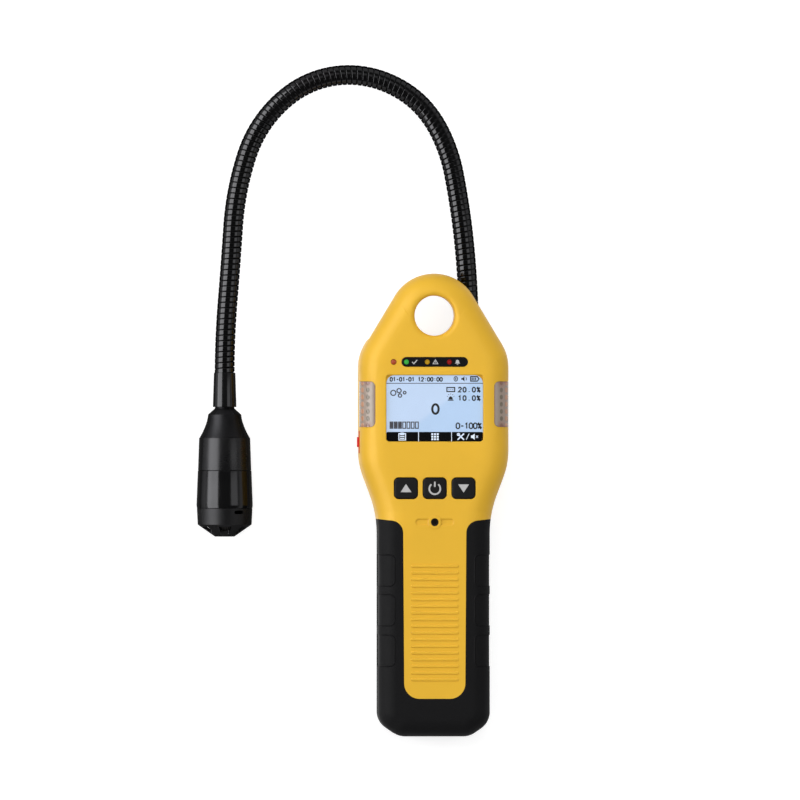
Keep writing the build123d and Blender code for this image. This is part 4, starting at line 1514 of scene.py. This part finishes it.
    def key_row(self) -> Surface:
        """Icons of the row over the keys: a list board, nine squares, crossed tools, a slash and a horn.

        Returns:
            All of them as one surface.
        """
        middle = -self.height / 2 + self.row_height / 2
        board = self.line([(-16.1, middle - 1.5), (-13.1, middle - 1.5), (-13.1, middle + 1.35),
                           (-16.1, middle + 1.35)], 0.42, True)
        clip = self.box(-14.6, middle + 1.5, 1.5, 0.7)
        rows = [self.box(-14.6, middle - 0.8 + 0.85 * n, 2.0, 0.42) for n in range(3)]
        squares = [self.box(0.15 + 1.22 * (n % 3 - 1), middle + 1.15 * (n // 3 - 1), 0.9, 0.82)
                   for n in range(9)]
        tools = [self.line([(10.3, middle - 1.4), (13.2, middle + 1.4)], 0.6),
                 self.line([(13.2, middle - 1.4), (10.6, middle + 1.1)], 0.6),
                 self.line(circle(10.7, middle + 1.0, 0.55, 0.55, 10), 0.35, True)]
        slash = self.line([(14.2, middle - 1.4), (15.5, middle + 1.4)], 0.3)
        horn = self.shape([(16.3, middle - 0.55), (17.0, middle - 0.6), (18.0, middle - 1.4),
                           (18.0, middle + 1.4), (17.0, middle + 0.6), (16.3, middle + 0.55)])
        cross = [self.line([(18.6, middle - 0.5), (19.5, middle + 0.5)], 0.3),
                 self.line([(18.6, middle + 0.5), (19.5, middle - 0.5)], 0.3)]
        dividers = [self.box(x, middle, 0.3, self.row_height) for x in (-7.25, 7.6)]
        return board.join(clip, *rows, *squares, *tools, slash, horn, *cross, *dividers)

    def build(self) -> None:
        """Makes the picture, its marks and the pane over them."""
        # The first, paler blue is a painted reflection over the upper left of the picture.
        screen = ScreenGlow("screen_glow", linear(200, 222, 252), linear(187, 215, 249), self.centre_y)
        picture = plate(self.width - 0.1, self.height - 0.1, self.corner, self.pane_low + 0.02,
                        self.picture, 0.05).moved(y=self.centre_y)
        parts: dict[str, tuple[Surface, Finish]] = {
            "screen_picture": (picture, screen),
            "screen_icons": (self.icons(), INK),
            "screen_soft_marks": (self.soft_marks(), SOFT_INK),
            "screen_numerals": (self.numerals("01-01-01 12:00:00", -20.0, 12.2, 0.98, 1.4, 0.5).join(
                self.numerals("20.0%", 10.7, 7.35, 1.25, 2.1, 0.56),
                self.numerals("10.0%", 10.7, 3.55, 1.25, 2.1, 0.56),
                self.numerals("0-100%", 9.7, -9.1, 1.5, 1.95, 0.58)), INK),
            "screen_reading": (self.line(circle(0.35, -0.35, 1.42, 2.1, 40), 1.0, True), INK),
            "screen_bar_line": (self.box(0.0, self.bar_line, self.width - 0.2, 0.32), SOFT_INK),
        }
        row_middle = -self.height / 2 + self.row_height / 2
        row = plate(self.width - 0.15, self.row_height, 0.4, self.picture, self.picture + 0.02, 0.01)
        parts["screen_key_row"] = (row.moved(y=self.centre_y + row_middle), ROW_INK)
        parts["screen_key_marks"] = (self.key_row(), ROW_LIGHT)
        for name, (surface, finish) in parts.items():
            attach(surface.piece(name, finish, Slot.DISPLAY), "housing")
        pane = plate(self.width, self.height, self.corner, self.pane_low, self.pane_high, 0.25)
        made = pane.moved(y=self.centre_y).piece(
            "display_pane", Pane("display_pane", linear(34, 38, 44), 0.05), Slot.CLEAR_PANE)
        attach(made, "housing")
        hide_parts("display_window")
        log.info("display with %d printed parts", len(parts))


@dataclass
class IndicatorStrip:
    """Dark pill-shaped pane with three lamps under it, small marks beside them, and a lamp to its left."""

    centre_y: float = 64.4
    width: float = 29.8
    height: float = 4.3
    low: float = 34.5
    high: float = 35.8
    lamps: tuple[float, ...] = (-12.7, -3.3, 6.6)
    lamp_radius: float = 1.15
    lamp_top: float = 34.3
    board: float = 28.5
    spare_x: float = -18.5
    spare_radius: float = 1.2
    spare_top: float = 36.0
    print_rise: float = 0.02
    print_depth: float = 0.05

    def build(self) -> None:
        """Makes the pane with clear ports, the lamps and the printed marks."""
        ports = tuple((x, self.centre_y, self.lamp_radius) for x in self.lamps)
        dark = Pane("strip_pane", linear(14, 14, 16), 0.97, ports=ports, port_alpha=0.12, roughness=0.16)
        pane = plate(self.width, self.height, self.height / 2, self.low, self.high, 0.3, steps=16)
        made = pane.moved(y=self.centre_y).piece("indicator_pane", dark, Slot.DARK_PANE)
        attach(made, "housing")
        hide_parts("indicator_window")
        size = 2 * self.lamp_radius
        for number, (x, finish) in enumerate(zip(self.lamps, (GREEN_LAMP, AMBER_LAMP, RED_LAMP))):
            lens = plate(size, size, self.lamp_radius, self.board, self.lamp_top, 0.7, steps=10)
            made = lens.moved(x, self.centre_y).piece("indicator_lamp_%d" % (number + 1), finish, Slot.LAMP)
            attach(made, "housing")
            if number == 0:
                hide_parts("indicator_lamps")
        spare = plate(2 * self.spare_radius, 2 * self.spare_radius, self.spare_radius, self.board,
                      self.spare_top, 0.6, 0.08, steps=10)
        made = spare.moved(self.spare_x, self.centre_y).piece("status_lens", BROWN_LAMP, Slot.LAMP)
        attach(made, "housing")
        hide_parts("status_lamp")
        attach(self.marks().piece("indicator_marks", KEY_PRINT, Slot.DARK_PANE), "housing")
        log.info("indicator strip with %d lamps", len(self.lamps))

    def marks(self) -> Surface:
        """Printed marks right of the lamps: a tick, an open triangle with a bar, and a bell.

        Returns:
            All of them as one surface.
        """
        level, depth, y = self.high + self.print_rise, self.print_depth, self.centre_y
        tick = ribbon([(-10.2, y), (-9.4, y - 0.8), (-7.9, y + 0.9)], 0.45, level, depth)
        triangle = ribbon([(-0.8, y - 0.85), (1.4, y - 0.85), (0.3, y + 1.0)], 0.32, level, depth, True)
        bar = ribbon([(0.3, y - 0.35), (0.3, y + 0.35)], 0.3, level, depth)
        bell = fan([(9.0, y - 0.7), (11.4, y - 0.7), (10.95, y - 0.2), (10.9, y + 0.45), (10.5, y + 0.95),
                    (9.9, y + 0.95), (9.5, y + 0.45), (9.45, y - 0.2)], level, depth)
        clapper = patch(10.2, y - 1.0, 0.6, 0.3, level, depth)
        return tick.join(triangle, bar, bell, clapper)


class Mark(Enum):
    """Printed sign on a key."""

    UP = "up"
    POWER = "power"
    DOWN = "down"


@dataclass
class Keys:
    """Three soft keys with printed signs, each on its own body."""

    centre_y: float = 7.65
    pitch: float = 12.95
    width: float = 10.4
    height: float = 9.3
    corner: float = 2.0
    flange: float = 0.9
    low: float = 31.6
    flange_top: float = 32.7
    top: float = 36.12
    dome: float = 0.16
    stem_radius: float = 2.0
    print_depth: float = 0.1
    print_rise: float = 0.035
    arrow: tuple[tuple[float, float], ...] = ((-2.45, -1.75), (2.45, -1.75), (0.0, 1.95))
    arrow_end: float = 0.97
    arc_radii: tuple[float, float] = (2.85, 2.1)
    arc_degrees: tuple[float, float] = (128.0, 412.0)
    arc_drop: float = 0.2
    bar_half: float = 0.36
    bar_span: tuple[float, float] = (3.0, 0.6)

    def crown(self, flat: np.ndarray) -> np.ndarray:
        """Lifts plan points onto the key's crowned face.

        Formula: z is the rim plus the dome times 1 - u^2, with u the larger of |x| and |y| over the key's
        half width and half height, and a hair more so that the print lies on top.

        Args:
            flat: Array of plan points about the key's centre, last axis 2.

        Returns:
            The same points with a height.
        """
        share = np.maximum(np.abs(flat[..., 0]) / (self.width / 2), np.abs(flat[..., 1]) / (self.height / 2))
        level = self.top + self.dome * (1.0 - share ** 2) + self.print_rise
        return np.concatenate([flat, level[..., None]], -1)

    def sign(self, mark: Mark) -> Surface:
        """Printed sign about the key's centre.

        Formula: an arrow is the sheet (1-v)((1-u)a + u b) + v c over its corners a, b and c; the power sign
        is an arc band between two radii and two angles with a short upright bar in its gap.

        Args:
            mark: Which sign.

        Returns:
            The thin closed surface.
        """
        if mark is Mark.POWER:
            angle = np.radians(np.linspace(*self.arc_degrees, 40))[None, :]
            radius = np.array(self.arc_radii)[:, None]
            arc = np.stack([radius * np.cos(angle), radius * np.sin(angle) - self.arc_drop], -1)
            sides, rows = np.array([-self.bar_half, self.bar_half]), np.linspace(*self.bar_span, 6)
            bar = np.stack(np.meshgrid(sides, rows, indexing="ij"), -1)
            return thick(self.crown(arc), self.print_depth).join(thick(self.crown(bar), self.print_depth))
        tip = 1.0 if mark is Mark.UP else -1.0
        a, b, c = (np.array(corner) * [1.0, tip] for corner in self.arrow)
        u, v = np.meshgrid(np.linspace(0.0, 1.0, 9), np.linspace(0.0, self.arrow_end, 9))
        u, v = u[..., None], v[..., None]
        return thick(self.crown((1 - v) * ((1 - u) * a + u * b) + v * c), self.print_depth)

    def build(self) -> None:
        """Makes each key with its flange and stem, and its sign."""
        for step, (node, mark) in enumerate(zip(("key_up", "key_power", "key_down"), Mark)):
            x = (step - 1) * self.pitch
            cap = plate(self.width, self.height, self.corner, self.low, self.top, 0.55, self.dome)
            wide = plate(self.width + 2 * self.flange, self.height + 2 * self.flange, self.corner, self.low,
                         self.flange_top, 0.1)
            stem_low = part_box(node)[0][2] / MM
            stem = plate(2 * self.stem_radius, 2 * self.stem_radius, self.stem_radius, stem_low,
                         self.low + 0.1, 0.05)
            body = cap.join(wide, stem).moved(x, self.centre_y)
            made = body.piece(node + "_cap", KEY_RUBBER, Slot.KEY_BLACK)
            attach(made, node)
            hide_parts(node)
            sign = self.sign(mark).moved(x, self.centre_y).piece(node + "_sign", KEY_PRINT, Slot.KEY_BLACK)
            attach(sign, node)
            log.info("%s with its %s sign", node, mark.value)


@dataclass
class AlarmWindows:
    """Lens and reflector columns behind the clear corner windows on both edges."""

    centre_y: float = 45.4
    low: float = 22.0
    lens_x: float = 31.5
    lens_radii: tuple[float, float] = (0.95, 1.25)
    lens_top: float = 31.6
    lens_pitch: float = 3.3
    lens_count: int = 6
    cup_x: float = 29.6
    cup_radii: tuple[float, float] = (0.8, 1.2)
    cup_top: float = 31.2
    cup_shift: float = 1.6

    def column(self, x: float, y: float, radius_x: float, radius_y: float, top: float) -> Surface:
        """Upright column with a domed top.

        Formula: ellipses shrink by cos t while they rise by the radius along times sin t.

        Args:
            x: Its centre across.
            y: Its centre along.
            radius_x: Radius across.
            radius_y: Radius along.
            top: Height of its top.

        Returns:
            The closed surface.
        """
        t = np.linspace(0.0, TURN / 4.0 * 0.97, 7)
        size = np.concatenate([[1.0], np.cos(t)])
        level = np.concatenate([[self.low], top - radius_y + radius_y * np.sin(t)])
        flat = circle(0.0, 0.0, radius_x, radius_y, 20)[None] * size[:, None, None]
        lifted = np.broadcast_to(level[:, None, None], (*flat.shape[:2], 1))
        return loft(np.concatenate([flat, lifted], 2)).moved(x, y)

    def build(self) -> None:
        """Makes the amber lenses and the dark reflector cups of each window."""
        for name, side in (("left", -1.0), ("right", 1.0)):
            steps = np.arange(self.lens_count) - (self.lens_count - 1) / 2
            places = self.centre_y + steps * self.lens_pitch
            lenses = [self.column(side * self.lens_x, y, *self.lens_radii, self.lens_top) for y in places]
            cups = [self.column(side * self.cup_x, y, *self.cup_radii, self.cup_top)
                    for y in places[:-1] + self.cup_shift]
            made = lenses[0].join(*lenses[1:]).piece("alarm_lenses_" + name, ALARM_GLOW, Slot.LAMP)
            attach(made, "housing")
            made = cups[0].join(*cups[1:]).piece("alarm_cups_" + name, ALARM_DARK, Slot.LAMP)
            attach(made, "housing")
            log.info("alarm window %s with %d lenses", name, self.lens_count)


# Carried-over nodes

@dataclass
class CarriedNodes:
    """CAD nodes that keep their shape and get a finish and a smooth, crisp-edged shading."""

    split_angle: float = 30.0
    weld_reach: float = 1e-6

    finishes: ClassVar[dict[Finish, tuple[str, ...]]] = {
        YELLOW: ("front_cover", "back_cover"),
        RUBBER: ("rubber_grip",),
        RED: ("side_button",),
        SEAL: ("case_gasket", "cap_seal"),
        STEEL: ("case_screws", "gland_nut", "charge_socket", "vibration_motor"),
        FILTER: ("dust_filter",),
        CIRCUIT: ("main_board", "charge_board", "sensor_board"),
        SLEEVED: ("battery_cell_left", "battery_cell_right"),
        DARK_PLASTIC: ("hose_gland", "key_switches", "side_switch", "sounder", "battery_holder",
                       "sensor_element", "lcd_module"),
        CAP_SKIN: ("sensor_cap",),
        ALARM_CLEAR: ("alarm_window_left", "alarm_window_right"),
        ALARM_DARK: ("alarm_lamps_left", "alarm_lamps_right"),
    }

    def build(self) -> None:
        """Gives each node its finish, welds its loose faces, splits them at real edges and evens the rest."""
        for finish, names in self.finishes.items():
            for name in names:
                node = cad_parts[name]
                node.data.materials.clear()
                node.data.materials.append(Palette.of(finish))
                node.data.polygons.foreach_set("use_smooth", np.ones(len(node.data.polygons), bool))
                weld = node.modifiers.new("weld", "WELD")
                weld.merge_threshold = self.weld_reach
                split = node.modifiers.new("real_edges", "EDGE_SPLIT")
                split.split_angle = np.radians(self.split_angle)
                even = node.modifiers.new("even_shading", "WEIGHTED_NORMAL")
                even.mode = "FACE_AREA"
            log.info("%s on %s", finish.name, ", ".join(names))


# Studio

class Share(Enum):
    """What a light takes part in: whether it lights surfaces and whether their gloss shows it."""

    BOTH = (True, True)
    LIT = (True, False)
    GLOSS = (False, True)


@dataclass
class Studio:
    """Pale floor, soft lights and the camera above, a little to the left."""

    look_x: float = -15.05
    look_y: float = 47.3
    view_level: float = 20.0
    distance: float = 8000.0
    lean: float = 2.1
    view_width: float = 360.0
    sensor: float = 36.0
    floor_half: float = 4000.0
    floor_level: float = -0.3
    paper_glow: float = 0.72
    sky_light: float = 0.36
    ceiling: float = 0.13
    wall_top: float = 0.34
    ceiling_foot: float = 0.6

    def middle(self) -> Vector:
        """The point that the camera looks at, in metres."""
        return Vector((self.look_x, self.look_y, self.view_level)) * MM

    def panel(self, name: str, azimuth: float, lean: float, away: float, size: Sequence[float],
              radiance: float, share: Share = Share.BOTH, along: float = 0.0) -> None:
        """Adds one area light that the camera doesn't see, by its direction from the object.

        Args:
            name: The light's name.
            azimuth: Its direction in plan, in degrees from +X towards +Y.
            lean: Its angle from straight up, in degrees.
            away: Its distance in millimetres.
            size: Its level and its upright size in millimetres.
            radiance: Brightness of its face, where 1 is the white of the background.
            share: What it takes part in.
            along: How far it is moved along Y, without turning, in millimetres.
        """
        a, b = np.radians(azimuth), np.radians(lean)
        ray = Vector((np.sin(b) * np.cos(a), np.sin(b) * np.sin(a), np.cos(b)))
        data = bpy.data.lights.new(name, "AREA")
        data.shape = "RECTANGLE"
        data.size, data.size_y = size[0] * MM, size[1] * MM
        data.energy = radiance * np.pi * data.size * data.size_y
        light = bpy.data.objects.new(name, data)
        light.location = self.middle() + ray * (away * MM) + Vector((0.0, along * MM, 0.0))
        light.rotation_euler = (-ray).to_track_quat("-Z", "Y").to_euler()
        light.visible_camera = False
        light.visible_diffuse, light.visible_glossy = share.value
        bpy.context.scene.collection.objects.link(light)

    def seen_directly(self, s: NodeTree) -> Signal:
        """One for camera, glossy and transmission rays."""
        rays = [s.node("ShaderNodeLightPath", {}, {}, n)
                for n in ("Is Camera Ray", "Is Glossy Ray", "Is Transmission Ray")]
        return rays[0].most(rays[1]).most(rays[2])

    def floor(self) -> None:
        """Adds the floor: pale paper that adds its own white for camera, glossy and transmission rays."""
        s = Shader("studio_paper")
        glow = s.blend(self.seen_directly(s), BLACK, (self.paper_glow,) * 3)
        s.set(base_color=s.blend(s.noise(300.0), (0.5, 0.5, 0.5), (0.52, 0.52, 0.52)), roughness=0.9,
              specular_ior_level=0.0, emission_color=glow, emission_strength=1.0)
        ends = np.array([-self.floor_half, self.floor_half])
        sheet = np.stack([*np.meshgrid(ends, ends), np.full((2, 2), self.floor_level)], -1).reshape(-1, 3)
        mesh = bpy.data.meshes.new("studio_floor")
        mesh.from_pydata((sheet * MM).tolist(), [], [(0, 1, 3, 2)])
        mesh.materials.append(s.material)
        floor = bpy.data.objects.new("studio_floor", mesh)
        bpy.context.scene.collection.objects.link(floor)

    def sky(self) -> None:
        """Sets the room, seen as white walls up to 20 degrees that fade to a dark ceiling by 37 degrees.

        Formula: the rise of a direction is its sine, and the white fades from the walls' top to the
        ceiling's foot. All other rays get one plain level of light.
        """
        world = bpy.data.worlds.new("studio_room")
        bpy.context.scene.world = world
        world.use_nodes = True
        room = NodeTree(world.node_tree)
        back = next(n for n in room.tree.nodes if n.type == "BACKGROUND")
        way = room.node("ShaderNodeTexCoord", {}, {}, "Generated")
        rise = room.node("ShaderNodeSeparateXYZ", {}, {0: way}, 2)
        wall = 1.0 - rise.ramp(self.wall_top, self.ceiling_foot) * (1.0 - self.ceiling)
        seen = self.seen_directly(room)
        room.feed(back.inputs["Strength"], seen * wall + (1.0 - seen) * self.sky_light)
        back.inputs["Color"].default_value = (1.0, 1.0, 1.0, 1.0)

    def camera(self) -> None:
        """Adds the camera: its lens shows the view width at the view level from the given distance."""
        data = bpy.data.cameras.new("camera")
        data.sensor_width = self.sensor
        data.lens = self.sensor * self.distance / self.view_width
        data.clip_start, data.clip_end = 0.05, 20.0
        made = bpy.data.objects.new("camera", data)
        lean = np.radians(self.lean)
        made.location = self.middle() + Vector((-np.sin(lean), 0.0, np.cos(lean))) * self.distance * MM
        made.rotation_euler = (0.0, -lean, 0.0)
        bpy.context.scene.collection.objects.link(made)
        bpy.context.scene.camera = made

    def build(self) -> None:
        """Sets up the camera, the floor, the sky and the lights."""
        bpy.context.scene.view_settings.view_transform = "Standard"
        self.camera()
        self.floor()
        self.sky()
        self.panel("side_left", 178.0, 64.0, 900.0, (300.0, 800.0), 5.8, Share.LIT)
        self.panel("strip_left", 180.0, 56.0, 900.0, (1500.0, 740.0), 6.4, Share.GLOSS, 300.0)
        self.panel("strip_right", 2.0, 36.0, 900.0, (300.0, 500.0), 1.9)
        self.panel("softbox_far", 90.0, 30.0, 900.0, (500.0, 300.0), 0.7)
        self.panel("overhead", 90.0, 12.0, 1500.0, (1300.0, 1300.0), 1.46, Share.LIT)
        self.panel("low_far", 97.0, 55.0, 900.0, (900.0, 300.0), 2.1, Share.LIT)
        log.info("studio ready")


def main() -> None:
    """Builds every sub-assembly in order."""
    logging.basicConfig(level=logging.INFO, format="%(name)s: %(message)s")
    for part in (Studio(), Gooseneck(), SensorHead(), Display(), IndicatorStrip(), Keys(), AlarmWindows(),
                 CarriedNodes()):
        part.build()


if __name__ == "__main__":
    main()
